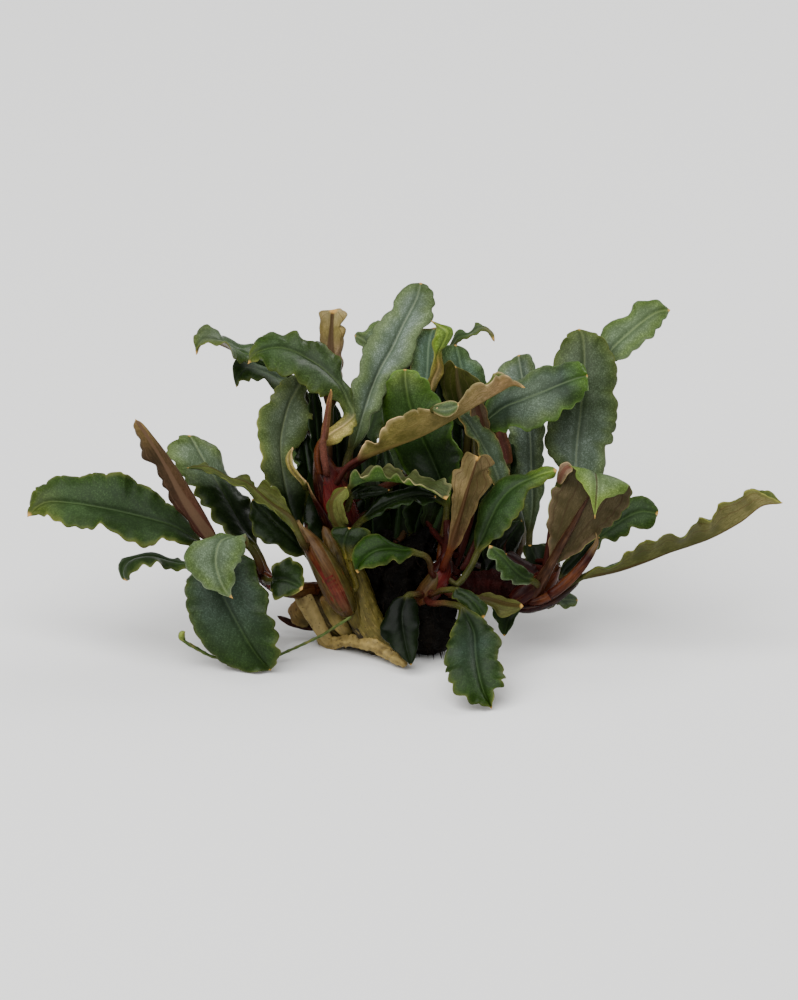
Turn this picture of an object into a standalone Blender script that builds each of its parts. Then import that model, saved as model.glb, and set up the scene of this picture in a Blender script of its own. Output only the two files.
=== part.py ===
"""Brownie mini red bucephalandra: one clump of a small creeping aquarium plant, lifted out of the water.

Units are metres, +Z is up and +X runs along the clump's longest side. The clump rests on the flat cut
under its rhizome, with its front toward -Y. Leaves, crowns, stems and roots are each their own object.

The leaves were laid out over one picture, taken from a little above the front. A place on the plant is
therefore written as the picture's column and row, and how far behind the foot it lies in millimetres,
with nearer places negative. The function seen turns such a place into metres.
"""

import math

import bmesh
import bpy
from mathutils import Vector

# Driving dimensions of the plant
CLUMP_WIDTH = 0.1134
BLADE_THICKNESS = 0.0005
STALK_WIDTH = 0.0011
STALK_THICKNESS = 0.0009
CUT_HEIGHT = 0.0034

# How the picture was taken
LOOK_DOWN = math.radians(20)
PICTURE_CLUMP_WIDTH = 756
FOOT_COLUMN = 400
FOOT_ROW = 655
PIXEL = CLUMP_WIDTH / PICTURE_CLUMP_WIDTH
MILLIMETRE = 0.001

# How finely a leaf is drawn
BLADE_STATIONS = 21
STALK_STATIONS = 4
TUBE_SIDES_STEP = 1

COLOURS = {
    "leaf_green": (0.060, 0.105, 0.052, 1.0),
    "leaf_dark": (0.022, 0.045, 0.022, 1.0),
    "leaf_brown": (0.260, 0.180, 0.085, 1.0),
    "leaf_bright": (0.150, 0.260, 0.060, 1.0),
    "crown_red": (0.190, 0.028, 0.026, 1.0),
    "crown_pink": (0.360, 0.110, 0.090, 1.0),
    "rhizome_cream": (0.480, 0.370, 0.160, 1.0),
    "rhizome_olive": (0.230, 0.190, 0.060, 1.0),
    "root_dark": (0.045, 0.028, 0.020, 1.0),
}


def seen(place):
    """The point in metres of a place written as column, row and millimetres behind the foot."""
    column, row, behind = place
    right = (column - FOOT_COLUMN) * PIXEL
    up = (FOOT_ROW - row) * PIXEL
    back = behind * MILLIMETRE
    return Vector(
        (
            right,
            up * math.sin(LOOK_DOWN) + back * math.cos(LOOK_DOWN),
            up * math.cos(LOOK_DOWN) - back * math.sin(LOOK_DOWN),
        )
    )


def clear_scene():
    for thing in list(bpy.data.objects):
        bpy.data.objects.remove(thing, do_unlink=True)


def plain_material(name):
    material = bpy.data.materials.get(name)
    if material is None:
        material = bpy.data.materials.new(name)
        material.use_nodes = True
        shader = material.node_tree.nodes["Principled BSDF"]
        shader.inputs["Base Color"].default_value = COLOURS[name]
        shader.inputs["Roughness"].default_value = 0.35 if name.startswith("leaf") else 0.55
        shader.inputs["Metallic"].default_value = 0.0
    return material


def plant_collection():
    collection = bpy.data.collections.get("bucephalandra")
    if collection is None:
        collection = bpy.data.collections.new("bucephalandra")
        bpy.context.scene.collection.children.link(collection)
    return collection


def keep(thing, tone, base):
    """Puts a piece in the plant's collection, with its material, standing where it grows from."""
    thing.data.materials.append(plain_material(tone))
    thing.location = base
    plant_collection().objects.link(thing)
    return thing


def curve_point(points, place):
    """A point of the smooth line through the points, at a place counted in points from the first."""
    index = min(int(place), len(points) - 2)
    share = place - index
    before = points[max(index - 1, 0)]
    start = points[index]
    end = points[index + 1]
    after = points[min(index + 2, len(points) - 1)]
    return 0.5 * (
        2 * start
        + (end - before) * share
        + (2 * before - 5 * start + 4 * end - after) * share**2
        + (3 * start - before - 3 * end + after) * share**3
    )


def even_line(points, count):
    """count points spaced evenly along the smooth line through the points."""
    fine = [curve_point(points, i / 12) for i in range(12 * (len(points) - 1) + 1)]
    travelled = [0.0]
    for first, second in zip(fine, fine[1:]):
        travelled.append(travelled[-1] + (second - first).length)
    line = []
    index = 0
    for i in range(count):
        wanted = travelled[-1] * i / (count - 1)
        while index < len(fine) - 2 and travelled[index + 1] < wanted:
            index += 1
        span = travelled[index + 1] - travelled[index]
        share = (wanted - travelled[index]) / span if span else 0.0
        line.append(fine[index].lerp(fine[index + 1], min(max(share, 0.0), 1.0)))
    return line


def square_to(direction, along):
    """The direction with its part along a line taken out, at length one."""
    return (direction - along * direction.dot(along)).normalized()


def directions(line):
    """The unit direction of a line at each of its points."""
    last = len(line) - 1
    return [(line[min(i + 1, last)] - line[max(i - 1, 0)]).normalized() for i in range(last + 1)]


def leaf(name, tone, stalk, rib, edge_a, edge_b):
    """One leaf as a closed loft: its stalk from the crown, then the blade between its two edges.

    The leaf's origin is where its stalk leaves the crown.
    """
    stalk_points = [seen(place) for place in stalk] + [seen(rib[0])]
    rib_points = [seen(place) for place in rib]
    a_points = [seen(place) for place in edge_a]
    b_points = [seen(place) for place in edge_b]

    start_along = (rib_points[1] - rib_points[0]).normalized()
    start_across = square_to(b_points[0] - a_points[0], start_along)
    a_points.insert(0, rib_points[0] - start_across * STALK_WIDTH / 2)
    b_points.insert(0, rib_points[0] + start_across * STALK_WIDTH / 2)
    a_points.append(rib_points[-1])
    b_points.append(rib_points[-1])

    rings = []
    stalk_line = even_line(stalk_points, STALK_STATIONS)
    for centre, along in list(zip(stalk_line, directions(stalk_line)))[:-1]:
        across = square_to(start_across, along)
        out = across.cross(along)
        rings.append(
            [
                centre - across * STALK_WIDTH / 2,
                centre + out * STALK_THICKNESS / 2,
                centre + across * STALK_WIDTH / 2,
                centre - out * STALK_THICKNESS / 2,
            ]
        )

    rib_line = even_line(rib_points, BLADE_STATIONS)
    a_line = even_line(a_points, BLADE_STATIONS)
    b_line = even_line(b_points, BLADE_STATIONS)
    for i, along in enumerate(directions(rib_line)[:-1]):
        out = (b_line[i] - a_line[i]).cross(along).normalized()
        share = i / (BLADE_STATIONS - 1)
        half = (STALK_THICKNESS * (1 - share) ** 3 + BLADE_THICKNESS * (1 - (1 - share) ** 3)) / 2
        rings.append([a_line[i], rib_line[i] + out * half, b_line[i], rib_line[i] - out * half])

    base = stalk_points[0]
    mesh = bmesh.new()
    corners = [[mesh.verts.new(point - base) for point in ring] for ring in rings]
    tip = mesh.verts.new(rib_line[-1] - base)
    mesh.faces.new(corners[0])
    for near, far in zip(corners, corners[1:]):
        for i in range(4):
            j = (i + 1) % 4
            mesh.faces.new([near[i], near[j], far[j], far[i]])
    for i in range(4):
        mesh.faces.new([corners[-1][i], corners[-1][(i + 1) % 4], tip])
    bmesh.ops.recalc_face_normals(mesh, faces=mesh.faces)
    if mesh.calc_volume(signed=True) < 0:
        bmesh.ops.reverse_faces(mesh, faces=mesh.faces)
    data = bpy.data.meshes.new(name)
    mesh.to_mesh(data)
    mesh.free()
    return keep(bpy.data.objects.new(name, data), tone, base)


def tube(name, tone, places, widths, sides_step=TUBE_SIDES_STEP):
    """A round stem or root along its places, as a bevelled curve with a width in millimetres at each.

    Its origin is at its first place.
    """
    base = seen(places[0])
    curve = bpy.data.curves.new(name, "CURVE")
    curve.dimensions = "3D"
    curve.bevel_depth = 0.5 * MILLIMETRE
    curve.bevel_resolution = sides_step
    curve.use_fill_caps = True
    spline = curve.splines.new("POLY")
    spline.points.add(len(places) - 1)
    for point, place, width in zip(spline.points, places, widths):
        point.co = (*(seen(place) - base), 1.0)
        point.radius = width
    return keep(bpy.data.objects.new(name, curve), tone, base)


def rhizome_foot():
    """The stump that the clump stands on, cut off flat underneath."""
    outline = [
        (-10.4, 6.4),
        (-7.6, 3.4),
        (-4.2, 0.8),
        (-1.2, -1.9),
        (0.9, -3.6),
        (3.8, -0.8),
        (5.4, 4.0),
        (3.0, 12.0),
        (-6.0, 14.0),
    ]
    mesh = bmesh.new()
    ring = [mesh.verts.new((x * MILLIMETRE, y * MILLIMETRE, 0.0)) for x, y in outline]
    under = mesh.faces.new(ring)
    raised = bmesh.ops.extrude_face_region(mesh, geom=[under], use_keep_orig=True)["geom"]
    top = [corner for corner in raised if isinstance(corner, bmesh.types.BMVert)]
    middle = sum((corner.co for corner in top), Vector()) / len(top)
    for corner in top:
        corner.co = middle + (corner.co - middle) * 0.82 + Vector((0.0, 0.0, CUT_HEIGHT))
    bmesh.ops.recalc_face_normals(mesh, faces=mesh.faces)
    data = bpy.data.meshes.new("rhizome_foot")
    mesh.to_mesh(data)
    mesh.free()
    return keep(bpy.data.objects.new("rhizome_foot", data), "rhizome_olive", Vector())


def far_left_leaves():
    """Leaves of the small crown at the far left."""
    leaf(
        "leaf_far_left",
        "leaf_green",
        stalk=[(255, 571, -1.5), (230, 558, -1.5)],
        rib=[(200, 545, -1.5), (178, 529, -1), (153, 520, -0.5), (115, 511, 0.5), (76, 504, 1.5), (45, 503, 2),
             (27, 517, 1.5)],
        edge_a=[(190, 520, 1), (161, 498, 2), (138, 484, 2.5), (115, 476, 3), (85, 475, 4), (54, 476, 4),
                (38, 485, 4), (28, 502, 3)],
        edge_b=[(182, 545, -3.5), (164, 540, -4), (145, 546, -4.5), (119, 535, -4.5), (103, 527, -4),
                (92, 530, -3.5), (69, 526, -2.5), (57, 519, -1.5), (40, 514, 0.5)],
    )
    leaf(
        "leaf_rolled_left",
        "leaf_brown",
        stalk=[(257, 566, -3.6), (235, 553, -4.2)],
        rib=[(214, 541, -5), (200, 525, -5.5), (180, 500, -5.5), (160, 468, -6), (145, 442, -6.5),
             (136, 419, -6.5)],
        edge_a=[(193, 532, -4), (180, 514, -2), (172, 502, -1.5), (160, 482, -2), (150, 464, -2.5),
                (143, 455, -3), (139, 440, -3.5), (135, 428, -4.5)],
        edge_b=[(218, 533, -4), (203, 508, -2), (190, 490, -1.5), (176, 468, -2), (163, 448, -3),
                (150, 432, -3.5), (139, 421, -5)],
    )
    leaf(
        "leaf_left_back",
        "leaf_dark",
        stalk=[(266, 570, 0.3), (260, 556, 1)],
        rib=[(254, 545, 2), (238, 520, 3), (220, 488, 4), (203, 460, 5), (189, 435, 5.5)],
        edge_a=[(238, 543, 1), (218, 524, 1), (202, 502, 1.5), (185, 478, 2.5), (170, 458, 3.5), (166, 449, 4.5),
                (175, 440, 5), (182, 435, 5.5)],
        edge_b=[(256, 530, 4), (249, 510, 6), (240, 490, 7), (229, 472, 8), (221, 456, 8), (210, 444, 7.5),
                (198, 436, 6.5)],
    )
    leaf(
        "leaf_left_big",
        "leaf_green",
        stalk=[(253, 577, -5.6), (252, 566, -5.8)],
        rib=[(246, 558, -6), (230, 562, -7), (219, 578, -8), (223, 594, -8.5), (236, 619, -8.5), (248, 640, -8.2),
             (258, 655, -7.8), (271, 670, -7.5)],
        edge_a=[(225, 553, -5.5), (200, 560, -5.5), (189, 573, -6), (185, 586, -7), (187, 605, -7.5),
                (196, 632, -7.5), (212, 653, -7), (227, 664, -7), (242, 670, -7.3), (256, 671, -7.5)],
        edge_b=[(256, 562, -7), (259, 580, -8.5), (270, 596, -9), (267, 607, -9.5), (274, 622, -9.5),
                (277, 634, -9.5), (279, 657, -9)],
    )
    leaf(
        "leaf_left_pale",
        "leaf_green",
        stalk=[(262, 570, -6.6), (256, 555, -8.5)],
        rib=[(248, 545, -10), (236, 538, -11), (222, 541, -12), (217, 555, -13), (218, 570, -13.5),
             (225, 588, -14), (234, 598, -14)],
        edge_a=[(228, 535, -10.5), (212, 536, -10.5), (200, 540, -11), (192, 546, -11.5), (185, 556, -12),
                (187, 567, -12.5), (196, 577, -13), (206, 586, -13.5), (218, 592, -14)],
        edge_b=[(246, 533, -10.5), (246, 545, -11.5), (242, 560, -12.5), (237, 564, -13), (235, 580, -13.8),
                (232, 592, -14)],
    )
    leaf(
        "leaf_left_thin",
        "leaf_dark",
        stalk=[(254, 580, -2.6), (222, 574, -3.4)],
        rib=[(190, 566, -4.5), (170, 562, -4.5), (150, 557, -5), (130, 562, -5.5), (124, 572, -6),
             (128, 581, -6)],
        edge_a=[(185, 563, -2.5), (170, 560, -1), (157, 554, -0.5), (143, 554, -1), (124, 559, -2.5),
                (118, 566, -4), (124, 578, -5.5)],
        edge_b=[(184, 569, -6.5), (159, 567, -8.5), (142, 564, -9), (134, 570, -8.5), (130, 578, -7.5)],
    )
    leaf(
        "leaf_small_ruffled",
        "leaf_dark",
        stalk=[(268, 581, -6.2)],
        rib=[(273, 581, -7), (285, 580, -8), (296, 584, -8.5), (303, 589, -9)],
        edge_a=[(274, 568, -6.5), (284, 560, -7), (294, 559, -7.5), (303, 570, -8), (304, 582, -8.5)],
        edge_b=[(271, 590, -8), (276, 599, -9), (285, 598, -9), (294, 593, -9)],
    )


def left_leaves():
    """Leaves of the pink crown at the left."""
    leaf(
        "leaf_left_upright",
        "leaf_green",
        stalk=[(309, 553, -2)],
        rib=[(301, 540, -1.2), (293, 516, -0.5), (288, 501, 0), (282, 471, 1), (280, 450, 1.5), (281, 433, 2),
             (288, 405, 3), (300, 383, 4.5), (298, 374, 6)],
        edge_a=[(290, 520, -0.8), (280, 500, -0.6), (267, 479, -1.2), (263, 461, -2), (262, 448, -2),
                (257, 429, -1.5), (258, 415, -1), (263, 405, -0.5), (272, 396, 1), (276, 388, 3), (284, 378, 5)],
        edge_b=[(304, 520, 1), (308, 500, 2), (307, 484, 2.5), (298, 478, 2), (291, 466, 1.5), (292, 452, 2),
                (300, 445, 3), (309, 430, 4), (311, 413, 4.5), (306, 397, 5), (308, 384, 5.5)],
    )
    leaf(
        "leaf_olive_edge",
        "leaf_brown",
        stalk=[(305, 547, -5.6)],
        rib=[(297, 531, -4.8), (291, 518, -4.4), (272, 505, -3.5), (257, 492, -3), (245, 483, -2.5),
             (228, 478, -2), (209, 468, -1.5), (187, 468, -1.5)],
        edge_a=[(285, 522, -5), (268, 510, -5), (252, 498, -5), (243, 487, -4.5), (230, 481, -4),
                (215, 474, -3), (200, 470, -2.5)],
        edge_b=[(288, 508, -3.4), (280, 492, -3.2), (264, 481, -2.8), (255, 486, -1.6), (250, 477, 0),
                (240, 473, 0.5), (232, 477, 0.8), (220, 472, 0.8), (207, 463, 0.5), (197, 465, -0.5)],
    )
    leaf(
        "leaf_left_dark",
        "leaf_dark",
        stalk=[(316, 566, -0.4)],
        rib=[(306, 553, 0.5), (290, 538, 0.8), (272, 520, 1.2), (258, 506, 1.8), (252, 499, 2)],
        edge_a=[(293, 557, -0.6), (276, 547, -0.5), (262, 541, -0.5), (254, 534, 0), (250, 519, 1),
                (250, 508, 1.5)],
        edge_b=[(304, 541, 2), (297, 530, 2.2), (286, 522, 2.5), (276, 513, 3), (270, 503, 3), (262, 498, 2.5)],
    )


def top_leaves():
    """Leaves of the dark red crown that stands highest."""
    leaf(
        "leaf_arching",
        "leaf_green",
        stalk=[(320, 474, -2.2), (317, 458, -2)],
        rib=[(320, 444, -1.8), (332, 434, -2), (346, 424, -2), (354, 415, -1.5), (349, 404, -1), (339, 385, -0.5),
             (323, 369, 0), (308, 359, 0.5), (292, 351, 0.5), (276, 348, 0), (258, 353, -1), (248, 364, -2)],
        edge_a=[(330, 446, -2.5), (342, 441, -3.2), (352, 430, -3.2), (356, 420, -2), (352, 400, 0.5),
                (349, 383, 1.5), (341, 369, 2), (340, 357, 2), (328, 348, 2.5), (318, 340, 2.5), (301, 338, 2.5),
                (295, 330, 2.5), (282, 331, 2.5), (272, 329, 2.5), (262, 335, 1.5), (254, 342, 0.5),
                (251, 352, -0.5)],
        edge_b=[(322, 438, -1), (330, 430, -0.5), (338, 420, -0.5), (343, 412, -0.8), (338, 402, -1.5),
                (333, 389, -2.5), (320, 390, -3), (306, 380, -3), (301, 368, -3), (282, 370, -3.5),
                (270, 364, -3.5), (258, 358, -3)],
    )
    leaf(
        "leaf_pink_spear",
        "crown_pink",
        stalk=[(327, 474, -3.4), (324, 456, -4)],
        rib=[(323, 440, -4.2), (327, 410, -4.4), (331, 389, -4.4)],
        edge_a=[(319, 438, -3.6), (322, 420, -3.7), (326, 402, -4), (329, 393, -4.2)],
        edge_b=[(330, 438, -3.6), (331, 420, -3.7), (333, 402, -4), (333, 393, -4.2)],
    )
    leaf(
        "leaf_brown_stub",
        "leaf_brown",
        stalk=[(329, 472, 1.4), (329, 440, 2.8)],
        rib=[(330, 408, 4), (330, 370, 5), (331, 340, 6), (332, 318, 6.5), (333, 309, 6.5)],
        edge_a=[(323, 395, 5), (320, 370, 6.5), (320, 340, 7.5), (320, 318, 8), (320, 311, 8)],
        edge_b=[(339, 395, 5), (342, 370, 6), (343, 345, 7), (345, 330, 7.5), (341, 322, 7.5), (346, 314, 8),
                (341, 308, 7.5)],
    )
    leaf(
        "leaf_upper_left",
        "leaf_green",
        stalk=[(322, 484, 2.6), (316, 440, 4.6), (311, 405, 6.5), (290, 376, 7.5)],
        rib=[(252, 358, 5), (236, 350, 4), (220, 343, 3), (206, 340, 2), (199, 346, 1), (196, 355, 0.5)],
        edge_a=[(252, 346, 8.5), (239, 345, 8.5), (229, 338, 8), (218, 336, 7.5), (216, 328, 7), (204, 326, 6),
                (197, 331, 5), (197, 343, 2.5)],
        edge_b=[(244, 362, 2.4), (236, 357, 0.5), (228, 349, -0.5), (215, 345, -1), (204, 345, -0.5),
                (199, 350, 0)],
    )
    leaf(
        "leaf_under_arch",
        "leaf_dark",
        stalk=[(316, 492, 4.6), (309, 450, 6.2), (304, 415, 8)],
        rib=[(287, 384, 9.5), (268, 374, 9), (248, 368, 7.5), (239, 374, 6.5), (236, 387, 6)],
        edge_a=[(284, 368, 11), (270, 361, 11), (255, 360, 11), (240, 361, 10), (233, 366, 8), (233, 376, 7)],
        edge_b=[(278, 391, 7.5), (268, 384, 6.5), (257, 379, 5.5), (245, 379, 5.5), (240, 382, 5.5)],
    )
    leaf(
        "leaf_tall_centre",
        "leaf_green",
        stalk=[(341, 482, 0.6), (346, 462, 1.2)],
        rib=[(351, 448, 2), (357, 433, 2.2), (364, 411, 3), (371, 390, 4), (380, 369, 5), (392, 348, 6),
             (403, 325, 7), (416, 300, 8), (421, 282, 8)],
        edge_a=[(349, 438, 1.4), (352, 419, 1.6), (350, 395, 2.2), (353, 380, 2.7), (360, 373, 3.2),
                (361, 360, 3.7), (363, 349, 4.5), (369, 338, 5.3), (376, 325, 6.3), (384, 315, 7.2),
                (393, 308, 8), (394, 299, 9), (402, 289, 9.5), (411, 283, 9)],
        edge_b=[(360, 443, 2.4), (368, 431, 2.6), (371, 416, 3), (380, 409, 3.2), (385, 392, 3.6),
                (391, 378, 4), (402, 371, 4.2), (412, 362, 4.5), (416, 350, 5), (419, 336, 5.5),
                (430, 321, 6.2), (434, 314, 6.6), (432, 308, 7), (435, 303, 7.5), (433, 292, 8), (428, 285, 8)],
    )
    leaf(
        "leaf_long_tan",
        "leaf_brown",
        stalk=[(336, 484, -2.4), (345, 470, -3.2)],
        rib=[(357, 460, -3.8), (388, 447, -4.3), (420, 435, -4.8), (449, 420, -5.3), (475, 405, -5.6),
             (498, 392, -5.6), (512, 385, -5.6), (525, 388, -5.6)],
        edge_a=[(366, 441, -4.6), (378, 441, -5.2), (384, 428, -5.8), (400, 416, -6.3), (418, 410, -6.8),
                (435, 408, -6.8), (457, 400, -6.8), (469, 389, -7), (478, 383, -7), (488, 383, -7),
                (497, 377, -6.6), (510, 378, -6)],
        edge_b=[(368, 446, -2.2), (385, 440, -1.8), (402, 430, -1.4), (420, 421, -1.3), (440, 411, -1.7),
                (460, 400, -2.2), (478, 388, -2.6), (489, 376, -3), (500, 372, -3.6), (512, 378, -4.6)],
    )
    leaf(
        "leaf_ruffled_pale",
        "leaf_brown",
        stalk=[(345, 497, -3.6)],
        rib=[(351, 485, -5), (364, 482, -6), (385, 481, -7), (410, 484, -8), (430, 489, -8.6), (446, 500, -9)],
        edge_a=[(351, 474, -5.8), (357, 469, -6.4), (362, 477, -7), (371, 470, -7.5), (379, 465, -8),
                (386, 475, -8.5), (396, 474, -9), (403, 481, -9.5), (411, 478, -9.5), (420, 483, -9.6),
                (438, 493, -9.6)],
        edge_b=[(358, 478, -3.6), (370, 472, -3.6), (390, 466, -4), (405, 473, -4.5), (415, 470, -5),
                (426, 478, -6), (440, 478, -6.5), (449, 485, -7.5), (450, 493, -8.5)],
    )


def centre_leaves():
    """Leaves of the crown in the middle."""
    leaf(
        "leaf_twisted_new",
        "leaf_bright",
        stalk=[(428, 520, 6), (431, 470, 7.5), (427, 420, 8)],
        rib=[(428, 395, 7.5), (433, 378, 7.2), (438, 366, 6.8), (437, 354, 6.6), (443, 342, 6.6), (447, 332, 6.6),
             (440, 326, 6.6), (431, 320, 6.4)],
        edge_a=[(426, 386, 7), (430, 374, 6.6), (433, 362, 6.3), (434, 352, 6.1), (432, 340, 6.1),
                (436, 332, 6.2), (436, 326, 6.4)],
        edge_b=[(434, 392, 8.2), (441, 376, 8.2), (444, 366, 8), (442, 357, 7.6), (442, 349, 7.3),
                (450, 343, 7.6), (455, 334, 8), (452, 327, 7.6), (441, 324, 7)],
    )
    leaf(
        "leaf_hooked",
        "leaf_green",
        stalk=[(437, 522, 8), (452, 460, 11), (454, 400, 12.5)],
        rib=[(451, 350, 12.4), (458, 338, 11.4), (470, 334, 10.4), (480, 328, 9.4), (488, 330, 8.8), (495, 341, 8)],
        edge_a=[(454, 338, 13), (462, 330, 13), (469, 333, 12.6), (474, 330, 12.2), (478, 325, 11.4),
                (486, 327, 10.4), (493, 333, 9.2)],
        edge_b=[(458, 342, 10.8), (465, 339, 9.4), (476, 337, 8.4), (481, 331, 8), (489, 333, 7.8), (493, 339, 7.6)],
    )
    leaf(
        "leaf_folded",
        "leaf_dark",
        stalk=[(446, 528, 6.6), (462, 480, 8.5), (468, 440, 9.2)],
        rib=[(465, 415, 9), (461, 395, 8), (458, 372, 7.6), (458, 352, 8.6), (462, 346, 10)],
        edge_a=[(454, 408, 9.4), (443, 392, 9.4), (438, 376, 9.4), (440, 360, 9.2), (446, 348, 9.4),
                (454, 343, 10)],
        edge_b=[(482, 410, 9.4), (488, 392, 9.6), (485, 375, 9.8), (477, 361, 10), (470, 357, 10.2),
                (466, 349, 10.4)],
    )
    leaf(
        "leaf_centre_big",
        "leaf_bright",
        stalk=[(440, 566, 0.4), (441, 548, 1.4), (445, 525, 2.6)],
        rib=[(447, 506, 3.2), (444, 490, 3.2), (439, 475, 3.2), (430, 454, 3.6), (420, 433, 4), (410, 405, 4),
             (405, 385, 3.6), (403, 370, 3)],
        edge_a=[(430, 498, 3.6), (413, 484, 3.8), (400, 462, 4.2), (392, 445, 4.6), (384, 425, 5),
                (382, 406, 5), (384, 390, 4.6), (389, 378, 4), (396, 372, 3.5)],
        edge_b=[(451, 492, 2.8), (454, 478, 2.4), (460, 466, 2), (462, 455, 2), (460, 448, 2), (452, 438, 2.4),
                (453, 425, 3), (448, 411, 3), (438, 398, 3), (430, 388, 3), (428, 378, 3), (418, 373, 3)],
    )
    leaf(
        "leaf_small_bright",
        "leaf_bright",
        stalk=[(431, 572, -5.4), (428, 558, -7)],
        rib=[(413, 552, -8.4), (395, 549, -9), (378, 550, -9.5), (365, 558, -9.5), (358, 573, -9)],
        edge_a=[(403, 547, -7.5), (392, 542, -7.5), (380, 534, -8), (370, 534, -8), (362, 537, -8),
                (355, 546, -8.5), (352, 556, -9), (354, 567, -9)],
        edge_b=[(407, 559, -9.5), (400, 562, -10), (394, 559, -10), (383, 565, -10.5), (369, 567, -10.5),
                (361, 569, -10)],
    )
    leaf(
        "leaf_brown_upright",
        "leaf_brown",
        stalk=[(443, 567, -4.8)],
        rib=[(450, 550, -5.6), (455, 532, -6), (461, 512, -6), (467, 491, -6), (473, 472, -6), (478, 457, -6)],
        edge_a=[(449, 536, -5.6), (451, 516, -5.2), (452, 491, -4.6), (452, 472, -4.2), (460, 468, -4),
                (461, 458, -4), (467, 452, -4.6)],
        edge_b=[(461, 542, -5.6), (467, 528, -5.2), (474, 513, -4.6), (482, 495, -4.2), (489, 487, -4),
                (491, 480, -4), (488, 469, -4), (495, 463, -4), (487, 455, -4.6)],
    )
    leaf(
        "leaf_curved_green",
        "leaf_green",
        stalk=[(457, 584, -3.6), (470, 568, -3.6)],
        rib=[(478, 551, -3.2), (483, 538, -3), (490, 521, -3), (500, 502, -3), (512, 489, -3), (528, 480, -3),
             (543, 474, -3), (557, 470, -3)],
        edge_a=[(474, 538, -2.4), (476, 518, -1.8), (484, 498, -1.2), (495, 483, -1), (508, 475, -1),
                (520, 474, -1), (530, 477, -1.2), (542, 468, -2), (552, 467, -2.5)],
        edge_b=[(487, 546, -4.2), (502, 537, -4.8), (515, 520, -5), (524, 506, -5), (526, 494, -4.6),
                (530, 489, -4.2), (542, 483, -4), (554, 476, -3.4)],
    )
    leaf(
        "leaf_mid_right",
        "leaf_green",
        stalk=[(452, 566, 1.8), (467, 520, 3.2), (480, 470, 4)],
        rib=[(486, 424, 3), (502, 409, 2.2), (520, 401, 1.5), (543, 392, 1), (557, 386, 1), (575, 379, 1.8),
             (588, 376, 2.5)],
        edge_a=[(486, 404, 4), (495, 390, 4.2), (510, 380, 4.2), (525, 374, 4), (536, 366, 4), (546, 364, 4),
                (556, 367, 4), (565, 361, 4), (576, 361, 4), (585, 367, 3.5)],
        edge_b=[(491, 431, 1), (500, 432, 0), (509, 431, -0.5), (516, 426, -1), (525, 431, -1), (535, 430, -1),
                (545, 423, -1), (556, 419, -1), (567, 410, -0.6), (580, 400, 0.2), (588, 389, 1.2)],
    )
    leaf(
        "leaf_centre_grey",
        "leaf_dark",
        stalk=[(461, 571, 0), (482, 530, 1)],
        rib=[(502, 492, 1.6), (495, 470, 0.8), (482, 445, 0), (470, 425, -0.4), (459, 411, -0.6)],
        edge_a=[(491, 480, 0.6), (484, 462, -0.6), (477, 450, -1), (476, 441, -1.4), (466, 434, -1.4),
                (462, 424, -1.4), (455, 414, -1)],
        edge_b=[(508, 478, 2.4), (503, 455, 2), (495, 438, 1.2), (483, 424, 0.6), (470, 411, 0.2)],
    )
    leaf(
        "leaf_low_front",
        "leaf_dark",
        stalk=[(432, 594, -5.8), (442, 590, -7.6)],
        rib=[(456, 590, -9.4), (468, 597, -10.4), (477, 607, -10.8), (483, 618, -11)],
        edge_a=[(468, 590, -9), (480, 597, -10), (487, 606, -10.5), (486, 614, -10.9)],
        edge_b=[(452, 597, -10.4), (462, 602, -11.2), (471, 611, -11.6), (478, 617, -11.5)],
    )
    leaf(
        "leaf_low_olive",
        "leaf_brown",
        stalk=[(450, 594, -4.4), (463, 596, -6)],
        rib=[(478, 598, -7.4), (492, 600, -8), (508, 604, -8.5), (523, 606, -8.5)],
        edge_a=[(486, 592, -6.6), (502, 596, -7.2), (518, 601, -8)],
        edge_b=[(486, 604, -8.6), (494, 609, -9), (499, 616, -9.4), (508, 616, -9.4), (516, 612, -9)],
    )
    leaf(
        "leaf_hanging_front",
        "leaf_green",
        stalk=[(431, 603, -6.4), (446, 603, -9.2)],
        rib=[(462, 608, -11.6), (473, 630, -14), (475, 650, -16.6), (477, 668, -19), (482, 688, -21),
             (491, 707, -22.2)],
        edge_a=[(457, 618, -12.8), (452, 629, -14), (447, 643, -16), (445, 655, -17.6), (446, 668, -19.4),
                (451, 681, -21.4), (458, 694, -22.6), (470, 701, -23), (484, 703, -23)],
        edge_b=[(480, 616, -13), (494, 630, -15), (500, 644, -17), (495, 653, -18.2), (500, 662, -19.2),
                (503, 672, -20.2), (502, 684, -21.6), (495, 687, -22), (493, 698, -22.8)],
    )
    leaf(
        "leaf_glossy_low",
        "leaf_dark",
        stalk=[(418, 594, -5)],
        rib=[(406, 597, -6.2), (402, 615, -7.2), (405, 640, -8), (411, 665, -9.2)],
        edge_a=[(394, 599, -6.4), (385, 614, -6.8), (380, 631, -7), (390, 645, -7.8), (403, 658, -8.8)],
        edge_b=[(416, 600, -6.2), (419, 620, -7.2), (418, 640, -8), (416, 655, -8.8)],
    )


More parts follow.
